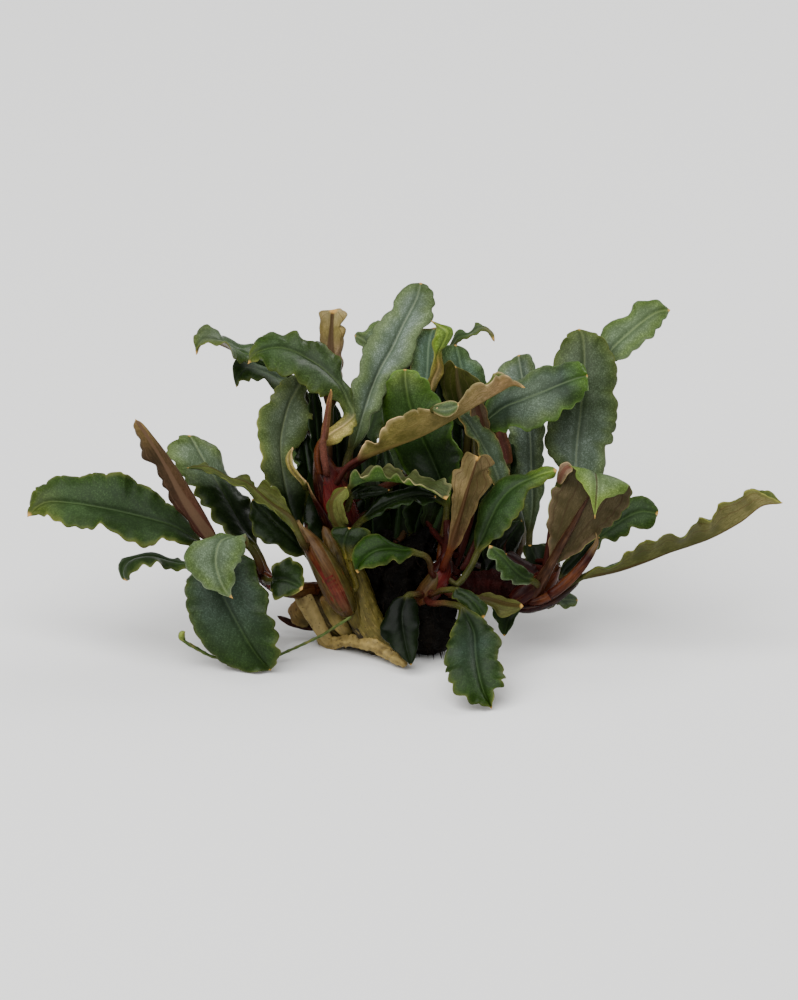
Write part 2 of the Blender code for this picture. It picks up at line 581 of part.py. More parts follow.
def right_leaves():
    """Leaves of the crown at the right."""
    leaf(
        "leaf_tall_right",
        "leaf_green",
        stalk=[(543, 570, 1.6), (560, 540, 4), (571, 510, 5.4)],
        rib=[(576, 484, 6), (577, 449, 6.6), (581, 413, 7.2), (585, 367, 8.4), (584, 340, 9.4), (580, 328, 10)],
        edge_a=[(566, 476, 7), (556, 462, 7.5), (547, 450, 8), (546, 438, 8), (549, 425, 8), (552, 400, 8.5),
                (553, 380, 9), (555, 362, 9.5), (559, 350, 10), (566, 338, 10), (572, 331, 10.2)],
        edge_b=[(590, 486, 7), (601, 478, 7.5), (607, 465, 8), (606, 448, 8), (613, 441, 8), (617, 420, 8.5),
                (619, 403, 8.5), (615, 392, 9), (619, 377, 9), (617, 362, 9.5), (610, 346, 10), (600, 335, 10),
                (590, 331, 10.2)],
    )
    leaf(
        "leaf_upper_right",
        "leaf_green",
        stalk=[(546, 566, 4), (572, 520, 9), (594, 440, 12)],
        rib=[(606, 364, 13), (613, 349, 13.2), (625, 337, 13.6), (640, 324, 14), (657, 312, 14.5),
             (672, 309, 14.5)],
        edge_a=[(602, 347, 14), (603, 330, 15), (612, 321, 15.5), (630, 314, 16), (637, 303, 16), (648, 300, 16),
                (659, 299, 15.5), (667, 305, 15)],
        edge_b=[(612, 361, 12), (621, 361, 12), (628, 354, 12), (637, 352, 12.5), (642, 339, 13), (653, 340, 13),
                (656, 330, 13.5), (664, 323, 14)],
    )
    leaf(
        "leaf_grey_behind",
        "leaf_dark",
        stalk=[(531, 571, 3.4), (529, 556, 6)],
        rib=[(530, 532, 8.6), (533, 505, 9.4), (532, 470, 10), (531, 440, 10.4), (527, 400, 11), (522, 372, 11.5),
             (519, 354, 11.5)],
        edge_a=[(524, 520, 9), (516, 480, 10), (511, 450, 10.4), (508, 420, 11), (503, 395, 11.6),
                (496, 376, 12), (503, 364, 12.4), (512, 358, 12.4)],
        edge_b=[(540, 507, 9), (545, 480, 9.4), (544, 450, 9.8), (545, 425, 10.2), (540, 400, 10.8),
                (536, 375, 11.2), (535, 362, 11.6), (530, 354, 12)],
    )
    leaf(
        "leaf_big_fan",
        "leaf_brown",
        stalk=[(542, 576, -4.2)],
        rib=[(552, 562, -5.2), (561, 545, -6), (574, 523, -7), (585, 503, -7.6), (592, 486, -8),
             (594, 474, -9), (596, 484, -10.4), (595, 501, -10.8), (594, 519, -10.8)],
        edge_a=[(549, 552, -5), (548, 540, -4.8), (548, 523, -4.6), (549, 504, -4.8), (552, 490, -5.2),
                (560, 480, -5.8), (563, 467, -6.6), (573, 465, -8), (576, 476, -9.6), (588, 495, -10.6),
                (592, 508, -10.8)],
        edge_b=[(566, 559, -5.2), (580, 550, -5.2), (593, 538, -5.2), (610, 525, -5.4), (624, 511, -5.8),
                (631, 496, -6.4), (629, 489, -7.6), (620, 494, -9.6), (604, 499, -10.6), (597, 508, -10.8)],
    )
    leaf(
        "leaf_long_right",
        "leaf_brown",
        stalk=[(548, 598, -3.6), (562, 590, -3.4)],
        rib=[(582, 577, -3), (600, 573, -2.6), (621, 568, -2.2), (645, 560, -2), (668, 551, -1.6), (690, 544, -1.2),
             (712, 536, -1), (740, 521, -0.5), (762, 505, 0), (783, 503, 0)],
        edge_a=[(590, 571, -3.8), (598, 566, -4.2), (610, 567, -4.6), (627, 556, -5), (641, 544, -5.5),
                (653, 546, -5.5), (666, 533, -5.5), (681, 538, -5.5), (694, 526, -5), (710, 526, -4.5),
                (719, 511, -4), (733, 502, -3.5), (745, 498, -3), (757, 493, -2), (770, 499, -1)],
        edge_b=[(596, 570, -1), (612, 563, 0.5), (630, 557, 1.5), (648, 550, 2), (668, 541, 2.5), (690, 532, 3),
                (710, 520, 3), (730, 507, 3), (750, 495, 2.5), (768, 494, 1.5), (778, 500, 0.5)],
    )
    leaf(
        "leaf_right_behind",
        "leaf_dark",
        stalk=[(557, 582, 2.4), (568, 568, 4.4)],
        rib=[(580, 553, 6), (600, 537, 7), (620, 522, 8), (640, 512, 8.5), (659, 514, 8.5)],
        edge_a=[(588, 537, 7.6), (605, 518, 9.4), (620, 504, 10), (630, 498, 10), (643, 497, 10), (654, 502, 9.5),
                (659, 509, 9)],
        edge_b=[(592, 552, 5), (604, 539, 6), (617, 539, 6.5), (628, 534, 7), (635, 528, 7.5), (647, 530, 7.5),
                (655, 524, 8)],
    )
    leaf(
        "leaf_small_pale",
        "leaf_green",
        stalk=[(537, 584, -5.2)],
        rib=[(531, 580, -6.2), (522, 576, -7), (511, 567, -8), (502, 556, -8.5), (489, 545, -9)],
        edge_a=[(525, 585, -7), (515, 583, -8), (508, 581, -9), (503, 574, -9.5), (498, 566, -9.5),
                (490, 559, -9.5), (488, 552, -9.5)],
        edge_b=[(533, 574, -5.8), (525, 571, -6), (515, 564, -6.5), (507, 557, -7.5), (502, 550, -8)],
    )
    leaf(
        "leaf_small_round",
        "leaf_green",
        stalk=[(548, 606, 1)],
        rib=[(556, 601, 1), (567, 600, 1.2), (578, 601, 1.4)],
        edge_a=[(562, 595, 2.2), (572, 594, 2.4), (577, 597, 2)],
        edge_b=[(558, 607, 0), (567, 609, 0), (575, 606, 0.6)],
    )


def back_leaves():
    """Leaves that the picture can't show, reaching out behind the clump."""
    leaf(
        "leaf_back_left",
        "leaf_green",
        stalk=[(330, 520, 6), (322, 500, 9)],
        rib=[(314, 486, 12), (304, 462, 17), (298, 442, 22), (296, 432, 27), (297, 428, 31)],
        edge_a=[(304, 480, 14), (293, 460, 18), (284, 444, 22), (283, 434, 26), (290, 428, 29)],
        edge_b=[(322, 478, 13), (318, 458, 19), (312, 442, 24), (308, 432, 28), (303, 428, 30)],
    )
    leaf(
        "leaf_back_centre",
        "leaf_brown",
        stalk=[(400, 540, 7), (402, 520, 10)],
        rib=[(404, 500, 14), (406, 470, 19), (408, 445, 24), (410, 430, 29), (411, 424, 33)],
        edge_a=[(394, 494, 15), (388, 468, 20), (388, 446, 25), (394, 432, 29), (402, 425, 32)],
        edge_b=[(416, 494, 14), (424, 468, 20), (428, 446, 25), (426, 432, 30), (419, 425, 32)],
    )
    leaf(
        "leaf_back_right",
        "leaf_green",
        stalk=[(520, 560, 6), (522, 545, 9)],
        rib=[(524, 525, 13), (522, 495, 18), (518, 465, 23), (514, 445, 28), (512, 436, 32)],
        edge_a=[(512, 520, 14), (504, 492, 19), (500, 466, 24), (503, 448, 28), (507, 439, 31)],
        edge_b=[(536, 520, 14), (540, 495, 20), (536, 468, 25), (530, 450, 29), (520, 439, 31)],
    )
    leaf(
        "leaf_back_low_left",
        "leaf_dark",
        stalk=[(360, 560, 9), (356, 556, 12)],
        rib=[(350, 556, 16), (340, 558, 21), (332, 566, 26), (328, 579, 30.6)],
        edge_a=[(336, 556, 17), (324, 562, 22), (320, 572, 27)],
        edge_b=[(362, 556, 19), (352, 562, 25), (340, 572, 29)],
    )
    leaf(
        "leaf_back_low_right",
        "leaf_dark",
        stalk=[(480, 566, 6), (484, 562, 9)],
        rib=[(490, 560, 14), (498, 562, 19), (506, 570, 24), (512, 583, 29)],
        edge_a=[(480, 562, 16), (484, 568, 22), (498, 578, 26)],
        edge_b=[(502, 556, 15), (516, 562, 20), (520, 572, 24)],
    )
    leaf(
        "leaf_back_high",
        "leaf_green",
        stalk=[(348, 500, 6), (352, 480, 8)],
        rib=[(358, 462, 11), (368, 430, 15), (376, 404, 19), (382, 390, 23), (385, 384, 26)],
        edge_a=[(350, 456, 11), (354, 428, 16), (360, 404, 20), (368, 390, 23), (377, 385, 25)],
        edge_b=[(368, 458, 11), (382, 430, 15), (392, 406, 19), (394, 392, 23), (390, 386, 25)],
    )


def crowns():
    """The short upright stems that carry the leaves, each a bundle of red leaf sheaths."""
    tube(
        "crown_far_left",
        "crown_red",
        [(318, 588, 3), (304, 590, 2), (288, 590, 0), (273, 584, -2.6), (263, 577, -4), (259, 572, -4.2)],
        [2.0, 2.2, 2.0, 1.9, 1.4, 0.7],
    )
    tube(
        "crown_left",
        "crown_pink",
        [(346, 602, -3.6), (334, 583, -4), (322, 563, -4), (311, 545, -3.4), (301, 528, -2.6), (298, 520, -2.4)],
        [3.0, 3.6, 3.2, 2.3, 0.9, 0.3],
    )
    tube(
        "crown_top",
        "crown_red",
        [(358, 612, 4), (354, 585, 3), (346, 548, 1.6), (341, 522, 0.8), (334, 500, 0.2), (328, 482, -0.4),
         (323, 462, -0.6), (321, 452, -0.6)],
        [2.4, 2.8, 3.0, 3.6, 3.4, 3.0, 1.4, 0.5],
    )
    tube(
        "crown_centre",
        "crown_red",
        [(424, 598, -3), (434, 585, -3), (441, 574, -2.6), (445, 560, -2.2), (447, 550, -2)],
        [3.0, 3.2, 3.0, 1.7, 0.6],
    )
    tube(
        "crown_right",
        "crown_red",
        [(521, 597, -2.4), (534, 588, -2.4), (545, 580, -1.8), (553, 568, -1), (557, 560, -0.6)],
        [3.0, 3.2, 3.0, 1.8, 0.6],
    )
    tube(
        "crown_back",
        "root_dark",
        [(402, 617, 4), (401, 599, 3), (404, 580, 3.2), (414, 560, 4), (424, 545, 4.8), (432, 530, 5.2)],
        [9.0, 9.4, 8.0, 6.0, 4.4, 2.0],
    )
    tube(
        "spathe",
        "leaf_brown",
        [(558, 590, -4.6), (571, 578, -4.8), (583, 565, -5), (592, 552, -5), (597, 540, -5)],
        [0.8, 1.4, 1.5, 1.3, 0.6],
    )


def rhizome_and_roots():
    """The creeping stem under the crowns, with its roots and one thin runner."""
    rhizome_foot()
    tube(
        "stem_pale",
        "rhizome_cream",
        [(302, 600, 5), (311, 618, 5.2), (320, 637, 5.2)],
        [1.5, 1.5, 1.4],
    )
    tube(
        "stem_tan",
        "rhizome_olive",
        [(319, 605, 1.6), (329, 613, 1.8), (338, 620, 2)],
        [2.4, 2.6, 2.4],
    )
    tube(
        "stem_olive",
        "rhizome_olive",
        [(356, 582, -2), (363, 600, -1.8), (370, 616, -1.6), (376, 628, -1.4)],
        [2.4, 3.0, 3.2, 2.8],
    )
    tube(
        "root_cream",
        "rhizome_cream",
        [(322, 641, 3.8), (345, 639, 0.8), (368, 641, -1.8), (385, 649, -4), (398, 658, -5.6), (407, 663, -6.4)],
        [1.1, 1.3, 1.4, 1.4, 1.3, 1.0],
    )
    tube(
        "root_mass",
        "root_dark",
        [(424, 613, -2.6), (427, 628, -3.2), (428, 641, -3.8), (428, 648, -4)],
        [1.8, 3.0, 2.8, 1.6],
    )
    tube(
        "rhizome_right",
        "crown_red",
        [(446, 597, 0), (465, 588, 0.8), (485, 582, 1), (505, 584, 0.4), (514, 590, -0.6)],
        [1.6, 2.8, 3.2, 2.8, 1.8],
    )
    tube(
        "runner",
        "leaf_green",
        [(352, 616, -5.4), (336, 626, -4.8), (322, 635, -4), (301, 645, -3.6), (278, 655, -3.6), (245, 660, -4.2),
         (212, 656, -5), (185, 641, -6), (181, 636, -6)],
        [0.4, 0.4, 0.4, 0.4, 0.4, 0.4, 0.4, 0.5, 0.3],
        sides_step=0,
    )


clear_scene()
far_left_leaves()
left_leaves()
top_leaves()
centre_leaves()
right_leaves()
back_leaves()
crowns()
rhizome_and_roots()
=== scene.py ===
"""The looks of one clump of brownie mini red bucephalandra, a small creeping aquarium plant.

The clump is put together as it grows: the creeping rhizome with its roots, the red crowns that stand
on it, and then the leaves of each crown. Lengths are metres unless a name says otherwise.
"""
import math

import bpy
import numpy as np
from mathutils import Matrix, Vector, noise


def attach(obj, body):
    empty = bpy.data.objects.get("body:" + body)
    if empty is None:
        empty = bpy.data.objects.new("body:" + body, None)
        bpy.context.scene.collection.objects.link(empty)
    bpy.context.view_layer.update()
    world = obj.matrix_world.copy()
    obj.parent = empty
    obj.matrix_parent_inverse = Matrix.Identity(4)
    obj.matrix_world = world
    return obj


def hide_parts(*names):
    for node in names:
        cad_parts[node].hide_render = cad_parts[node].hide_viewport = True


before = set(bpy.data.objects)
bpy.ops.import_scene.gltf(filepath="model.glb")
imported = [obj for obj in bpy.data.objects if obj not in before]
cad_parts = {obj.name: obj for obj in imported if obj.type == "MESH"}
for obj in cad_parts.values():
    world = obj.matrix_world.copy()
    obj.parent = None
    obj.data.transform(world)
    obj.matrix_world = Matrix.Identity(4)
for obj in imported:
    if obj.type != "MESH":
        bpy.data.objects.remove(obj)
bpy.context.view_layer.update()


# Camera
# The clump was photographed with a long lens from a little above its front. Places on the plant are
# written as that picture's column and row, and how many millimetres behind the foot they lie.
LOOK_DOWN = math.radians(20)
CLUMP_WIDTH = 0.1134
PICTURE_CLUMP_WIDTH = 756
PICTURE_MIDDLE = (399, 500, 0)
PICTURE_ROWS = 1000
FOOT_COLUMN = 400
FOOT_ROW = 655
PIXEL = CLUMP_WIDTH / PICTURE_CLUMP_WIDTH
MILLIMETRE = 0.001
LENS_MM = 600
SENSOR_MM = 36


def seen(place):
    """The point in metres of a place written as column, row and millimetres behind the foot."""
    column, row, behind = place[:3]
    up = (FOOT_ROW - row) * PIXEL
    back = behind * MILLIMETRE
    return np.array(
        [
            (column - FOOT_COLUMN) * PIXEL,
            up * math.sin(LOOK_DOWN) + back * math.cos(LOOK_DOWN),
            up * math.cos(LOOK_DOWN) - back * math.sin(LOOK_DOWN),
        ]
    )


toward_camera = np.array([0.0, -math.cos(LOOK_DOWN), math.sin(LOOK_DOWN)])
lens_distance = PICTURE_ROWS * PIXEL * LENS_MM / SENSOR_MM
camera_data = bpy.data.cameras.new("camera")
camera_data.lens = LENS_MM
camera_data.sensor_width = SENSOR_MM
camera = bpy.data.objects.new("camera", camera_data)
camera.location = Vector(seen(PICTURE_MIDDLE) + toward_camera * lens_distance)
camera.rotation_euler = Vector(toward_camera).to_track_quat("Z", "Y").to_euler()
bpy.context.scene.collection.objects.link(camera)
bpy.context.scene.camera = camera


# Floor and studio light
# A plain pale board under the clump, one wide soft light above its front, a weaker one from the right
# behind it, and an even white room around them.
FLOOR_SIZE = 3.0
FLOOR_COLOUR = (0.86, 0.86, 0.85, 1.0)
FLOOR_ROUGHNESS = 0.9
FLOOR_GLOSS = 0.1
ROOM_COLOUR = (1.0, 1.0, 1.0, 1.0)
ROOM_STRENGTH = 0.50
KEY_SIZE = 1.30
KEY_WATTS = 23.0
KEY_PLACE = (-0.30, -0.38, 0.95)
RIM_SIZE = 0.35
RIM_WATTS = 3.0
RIM_PLACE = (0.45, 0.45, 0.55)


def new_skin(name):
    """A new material, with its tree of nodes and its shader."""
    material = bpy.data.materials.new(name)
    material.use_nodes = True
    return material, material.node_tree, material.node_tree.nodes["Principled BSDF"]


def soft_light(name, size, watts, place):
    """A square studio light that faces the clump."""
    data = bpy.data.lights.new(name, "AREA")
    data.size = size
    data.energy = watts
    light = bpy.data.objects.new(name, data)
    light.location = place
    light.rotation_euler = Vector(place).to_track_quat("Z", "Y").to_euler()
    light.visible_camera = False
    bpy.context.scene.collection.objects.link(light)


def floor_board():
    """The pale board, in one matt paint."""
    half = FLOOR_SIZE / 2
    data = bpy.data.meshes.new("floor")
    corners = [(-half, -half, 0), (half, -half, 0), (half, half, 0), (-half, half, 0)]
    data.from_pydata(corners, [], [(0, 1, 2, 3)])
    paint, _, shader = new_skin("matt floor")
    shader.inputs["Base Color"].default_value = FLOOR_COLOUR
    shader.inputs["Roughness"].default_value = FLOOR_ROUGHNESS
    shader.inputs["Specular IOR Level"].default_value = FLOOR_GLOSS
    data.materials.append(paint)
    board = bpy.data.objects.new("floor", data)
    bpy.context.scene.collection.objects.link(board)


floor_board()
soft_light("key light", KEY_SIZE, KEY_WATTS, KEY_PLACE)
soft_light("rim light", RIM_SIZE, RIM_WATTS, RIM_PLACE)
room = bpy.data.worlds.new("room")
room.use_nodes = True
room.node_tree.nodes["Background"].inputs["Color"].default_value = ROOM_COLOUR
room.node_tree.nodes["Background"].inputs["Strength"].default_value = ROOM_STRENGTH
bpy.context.scene.world = room


# Rhizome foot
# The creeping stem is a knot of thick short pieces grown into each other, soft and olive to cream, with
# old scars. It was cut flat underneath, and the clump stands on that cut.
FOOT_VOXEL = 0.00028
FOOT_LUMPS = (0.0022, 0.0004, 1)
FOOT_GRAIN = (0.0006, 0.00012, 2)
FOOT_CREAM_SIZE = 0.004
FOOT_SHADE_LOW = 0.001
FOOT_SHADE_RISE = 0.006
STEM_PATCHES = 420
STEM_PITS = 2600
STEM_RELIEF = 0.00016
STEM_GLOSS = 0.2
BROWNED = (0.045, 0.024, 0.006, 1.0)
PALED = (0.26, 0.19, 0.055, 1.0)
PITTED = (0.014, 0.007, 0.002, 1.0)
LINE_STEPS = 24
ROUGH_SIZE = 0.0011
FINE_ROUGH_SIZE = 0.00045
COLOUR_LAYERS = ("tone", "rim", "vein")
PLACE_LAYERS = ("marks", "spots")
FAR_OFF = 9.0
FOOT_FORM = {"rows": 24, "sides": 18, "ridges": 3, "ridge_depth": 0.12, "scars": 4, "scar_depth": 0.10}
FOOT_PIECES = [
    [(322, 622, 8, 2.4), (345, 628, 5.6, 3.4), (372, 634, 2.2, 3.8), (392, 644, -0.4, 3.0),
     (404, 652, -2.6, 2.0)],
    [(338, 612, 9, 3.0), (362, 616, 7, 4.2), (388, 618, 5, 4.8), (414, 622, 4, 4.0), (430, 630, 4, 2.6)],
    [(340, 632, 5.2, 2.4), (356, 640, 3.0, 2.6), (376, 648, 0.4, 2.6), (396, 654, -1.6, 2.0)],
    [(384, 600, 8.5, 4.4), (396, 618, 7.6, 4.8), (404, 634, 6.6, 4.4)],
    [(366, 606, 11, 3.6), (376, 622, 10.5, 4.2), (384, 640, 9.6, 3.6)],
    [(340, 626, 6.4, 1.6), (330, 640, 5.6, 1.8), (322, 649, 5.2, 1.2)],
]


def grow(tree, kind, options=None, fill=None):
    """Adds a node to a tree, sets its options, and fills or links its inputs."""
    made = tree.nodes.new(kind)
    for option, value in (options or {}).items():
        setattr(made, option, value)
    for name, value in (fill or {}).items():
        if isinstance(value, bpy.types.NodeSocket):
            tree.links.new(value, made.inputs[name])
        else:
            made.inputs[name].default_value = value
    return made


def reckon(tree, operation, first, second=0.0):
    """The outcome of one sum in a node tree."""
    return grow(tree, "ShaderNodeMath", {"operation": operation}, {0: first, 1: second}).outputs[0]


def ease(tree, value, low, high, start=0.0, end=1.0):
    """A soft step from start to end while a value goes from low to high."""
    fill = {"Value": value, "From Min": low, "From Max": high, "To Min": start, "To Max": end}
    return grow(tree, "ShaderNodeMapRange", {"interpolation_type": "SMOOTHSTEP"}, fill).outputs[0]


def tint(tree, share, first, second, how="MIX"):
    """One colour laid over another, as strongly as the share says."""
    options = {"data_type": "RGBA", "blend_type": how}
    return grow(tree, "ShaderNodeMix", options, {0: share, 6: first, 7: second}).outputs[2]


def mottle(tree, where, scale, detail=2.0):
    """Smooth random spots of a size, in cycles per metre of the place that they are read at."""
    fill = {"Vector": where, "Scale": scale, "Detail": detail}
    return grow(tree, "ShaderNodeTexNoise", None, fill).outputs[0]


def place_of(tree):
    """Where a point lies, in metres."""
    return grow(tree, "ShaderNodeTexCoord").outputs["Object"]


def drawn_out(tree, across, along):
    """Where a point lies on its piece, in millimetres round and along it, scaled so that spots read
    there become long streaks."""
    grain = grow(tree, "ShaderNodeUVMap", {"uv_map": "grain"}).outputs[0]
    return grow(tree, "ShaderNodeMapping", None, {0: grain, 3: (across, along, 1.0)}).outputs[0]


def mark(tree, name, output="Vector"):
    """What a piece's mesh carries at each point under a name, such as its colour."""
    return grow(tree, "ShaderNodeAttribute", {"attribute_name": name}).outputs[output]


def relief(tree, height, strength, depth):
    """A fine relief in a surface."""
    fill = {"Height": height, "Strength": strength, "Distance": depth}
    return grow(tree, "ShaderNodeBump", None, fill).outputs[0]


def rhizome_skin():
    """Soft living stem: the piece's own colour, browned in patches, pitted and nearly matt."""
    material, tree, shader = new_skin("rhizome skin")
    place = place_of(tree)
    patches = mottle(tree, place, STEM_PATCHES, 4.0)
    pits = mottle(tree, place, STEM_PITS)
    threads = mottle(tree, drawn_out(tree, 5.0, 0.7), 1.0)
    colour = mark(tree, "tone", "Color")
    browned = tint(tree, ease(tree, patches, 0.52, 0.74, 0.0, 0.55), colour, BROWNED)
    paled = tint(tree, ease(tree, threads, 0.52, 0.72, 0.0, 0.5), browned, PALED)
    pitted = tint(tree, ease(tree, pits, 0.60, 0.72, 0.0, 0.7), paled, PITTED)
    tree.links.new(pitted, shader.inputs["Base Color"])
    tree.links.new(ease(tree, patches, 0.3, 0.7, 0.38, 0.62), shader.inputs["Roughness"])
    height = reckon(tree, "ADD", reckon(tree, "MULTIPLY", patches, 1.5), threads)
    tree.links.new(relief(tree, height, 0.45, STEM_RELIEF), shader.inputs["Normal"])
    shader.inputs["Specular IOR Level"].default_value = STEM_GLOSS
    return material


def smooth_line(points, count):
    """count points spaced evenly along the smooth line through the points. Columns past the third, such
    as a width, are carried along."""
    points = np.asarray(points, float)
    padded = np.vstack([points[:1], points, points[-1:]])
    steps = np.linspace(0, len(points) - 1, LINE_STEPS * (len(points) - 1) + 1)
    index = np.minimum(steps.astype(int), len(points) - 2)
    share = (steps - index)[:, None]
    before, start, end, after = (padded[index + shift] for shift in range(4))
    fine = 0.5 * (
        2 * start
        + (end - before) * share
        + (2 * before - 5 * start + 4 * end - after) * share**2
        + (3 * start - before - 3 * end + after) * share**3
    )
    strides = np.linalg.norm(np.diff(fine[:, :3], axis=0), axis=1)
    travelled = np.concatenate([[0.0], np.cumsum(strides)])
    wanted = np.linspace(0, travelled[-1], count)
    return np.stack([np.interp(wanted, travelled, column) for column in fine.T], axis=1)


def unit(vectors):
    """The vectors at length one."""
    return vectors / (np.linalg.norm(vectors, axis=-1, keepdims=True) + 1e-12)


def carried_square(line):
    """Two directions square to a line and to each other at each of its points, carried without twist."""
    along = unit(np.gradient(line, axis=0))
    side = np.cross(along[0], toward_camera)
    first = []
    for direction in along:
        side = unit(side - direction * np.dot(side, direction))
        first.append(side)
    first = np.array(first)
    return along, first, np.cross(along, first)


NOISE_APART = (Vector((9.3, -1.5, -8.0)), Vector((-7.1, 5.2, 3.7)), Vector((2.6, -6.3, 11.4)))


def uneven(points, size, amount, seed=0):
    """Moves each point by smooth noise whose bumps have a size, by up to an amount. Each direction
    reads the noise at a place of its own, because that gives the same bumps in every run."""
    shift = Vector((seed * 3.1, seed * 1.7, seed * 2.3))
    places = [Vector(point / size) + shift for point in points.reshape(-1, 3)]
    moves = [[noise.noise(place + apart) for apart in NOISE_APART] for place in places]
    return points + amount * np.array(moves).reshape(points.shape)


def stem(places, rows=40, sides=20, ridges=0, ridge_depth=0.0, scars=0, scar_depth=0.0, rough=0.0,
         seed=0, flat=1.0):
    """A stem as rings of points through places that end in a width in millimetres. It can have
    lengthwise ridges, ring scars where old leaves sat, and a rough skin in millimetres, and be flat
    like a strap."""
    line = smooth_line([(*seen(place), place[3] * MILLIMETRE / 2) for place in places], rows)
    centre = line[:, :3]
    radius = line[:, 3]
    along, first, second = carried_square(centre)
    travel = np.linspace(0, 1, rows)
    ends = np.clip(np.minimum(travel, 1 - travel) * rows / 3.0, 0, 1) ** 0.5
    rings_of_scars = np.abs(np.sin(math.pi * scars * travel)) ** 6 if scars else 0 * travel
    angle = np.linspace(0, 2 * math.pi, sides, endpoint=False)
    wave = np.sin(ridges * angle + 2.0 * travel[:, None] + seed)
    finer = np.sin((2 * ridges + 1) * angle - 3.0 * travel[:, None] + seed)
    swell = 1 + ridge_depth * wave + 0.5 * ridge_depth * finer
    reach = (radius * ends * (1 + scar_depth * rings_of_scars))[:, None] * swell
    rings = (
        centre[:, None, :]
        + reach[:, :, None] * np.cos(angle)[None, :, None] * first[:, None, :]
        + flat * reach[:, :, None] * np.sin(angle)[None, :, None] * second[:, None, :]
    )
    smooth_rings = rings
    if rough:
        rings = uneven(rings, ROUGH_SIZE, rough * MILLIMETRE, seed)
        rings = uneven(rings, FINE_ROUGH_SIZE, rough * MILLIMETRE / 3, seed + 40)
    # Painted light and shade: skin lifted by the roughness and the crests of the ridges are painted
    # lighter, the grooves between the ridges darker.
    lifted = ((rings - smooth_rings) * (smooth_rings - centre[:, None, :])).sum(axis=2)
    lifted = lifted / (radius.max() * max(rough * MILLIMETRE, 1e-9)) if rough else 0 * lifted
    relief_shade = np.clip(1 + 0.5 * lifted + 2.5 * ridge_depth * wave, 0.55, 1.4)
    length = np.linalg.norm(np.diff(centre, axis=0), axis=1).sum()
    around = np.broadcast_to(angle[None, :] * radius.mean(), (rows, sides))
    grain = np.stack([around, np.broadcast_to((travel * length)[:, None], around.shape)], axis=-1)
    return {"rings": rings, "grain": grain, "relief": relief_shade}


def spread_colours(colours, share):
    """The colour at each share of the way along a list of colours."""
    stops = np.linspace(0, 1, len(colours))
    return np.stack([np.interp(share, stops, part) for part in zip(*colours)], axis=-1)


def painted(shape, *colours):
    """Gives a stem or sheath its colours, from its first ring to its last."""
    rings = shape["rings"]
    line = spread_colours(colours, np.linspace(0, 1, len(rings)))
    # A stem's relief carries its painted light and shade: lighter on its lumps and ridges, darker in its
    # grooves.
    shape["tone"] = line[:, None, :] * shape.get("relief", np.ones(rings.shape[:2]))[..., None]
    return shape


def strand(places, colours, **form):
    """A stem in its colours."""
    return painted(stem(places, **form), *colours)


def loft_faces(rows, around, first):
    """The faces of a closed loft whose rings follow each other, with a flat end on each side."""
    index = first + np.arange(rows * around).reshape(rows, around)
    beside = np.roll(index, -1, axis=1)
    quads = np.stack([index[:-1], beside[:-1], beside[1:], index[1:]], axis=-1).reshape(-1, 4)
    return quads, [index[0][::-1].tolist(), index[-1].tolist()]


def loft_volume(rings):
    """The signed volume of a loft, to tell whether its faces point out."""
    corner = rings[:-1]
    beside = np.roll(corner, -1, axis=1)
    above = rings[1:]
    above_beside = np.roll(above, -1, axis=1)
    first = np.einsum("ijk,ijk->", corner, np.cross(beside, above_beside))
    return first + np.einsum("ijk,ijk->", corner, np.cross(above_beside, above))


def colour_layer(data, name, colours):
    """Writes a colour for each point of a mesh."""
    layer = data.attributes.new(name, "FLOAT_COLOR", "POINT")
    opaque = np.hstack([colours, np.ones((len(colours), 1))])
    layer.data.foreach_set("color", opaque.astype(np.float32).ravel())


def plant_piece(name, shapes, materials, slot, *nodes):
    """One piece of the plant from its lofts, standing for its CAD nodes and riding on the plant."""
    points, faces, picks, grains = [], [], [], []
    layers = {layer: [] for layer in COLOUR_LAYERS + PLACE_LAYERS}
    first = 0
    for shape in shapes:
        rings = shape["rings"]
        rings = rings - np.minimum(rings[..., 2:] - REST_HEIGHT, 0) * np.array([0.0, 0.0, 1.0])
        rows, around = rings.shape[:2]
        quads, ends = loft_faces(rows, around, first)
        middle = rings.mean(axis=(0, 1))
        if loft_volume(rings - middle) < 0:
            quads = quads[:, ::-1]
            ends = [end[::-1] for end in ends]
        points.append(rings.reshape(-1, 3))
        faces += quads.tolist() + ends
        pick = shape.get("pick", np.zeros((rows - 1, around), int))
        picks += pick.ravel().tolist() + [int(pick[0, 0]), int(pick[-1, 0])]
        for layer in layers:
            plain = shape["tone"] if layer in COLOUR_LAYERS else np.full(rings.shape, FAR_OFF)
            layers[layer].append(np.asarray(shape.get(layer, plain)).reshape(-1, 3))
        grains.append(shape["grain"].reshape(-1, 2))
        first += rows * around
    points = np.concatenate(points)
    data = bpy.data.meshes.new(name)
    data.from_pydata(points.tolist(), [], faces)
    for material in materials:
        data.materials.append(material)
    data.polygons.foreach_set("material_index", picks)
    for layer in COLOUR_LAYERS:
        colour_layer(data, layer, np.concatenate(layers[layer]))
    for layer in PLACE_LAYERS:
        made = data.attributes.new(layer, "FLOAT_VECTOR", "POINT")
        made.data.foreach_set("vector", np.concatenate(layers[layer]).astype(np.float32).ravel())
    corners = np.empty(len(data.loops), np.int32)
    data.loops.foreach_get("vertex_index", corners)
    grain_map = data.uv_layers.new(name="grain")
    grain = np.concatenate(grains)[corners] / MILLIMETRE
    grain_map.uv.foreach_set("vector", grain.astype(np.float32).ravel())
    data.shade_smooth()
    return settled(bpy.data.objects.new(name, data), slot, *nodes)


def settled(piece, slot, *nodes):
    """Puts a finished piece in the scene, riding on the plant and standing for its CAD nodes."""
    if piece.name not in bpy.context.scene.collection.objects:
        bpy.context.scene.collection.objects.link(piece)
    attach(piece, "root")
    if nodes:
        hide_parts(*nodes)
    return piece


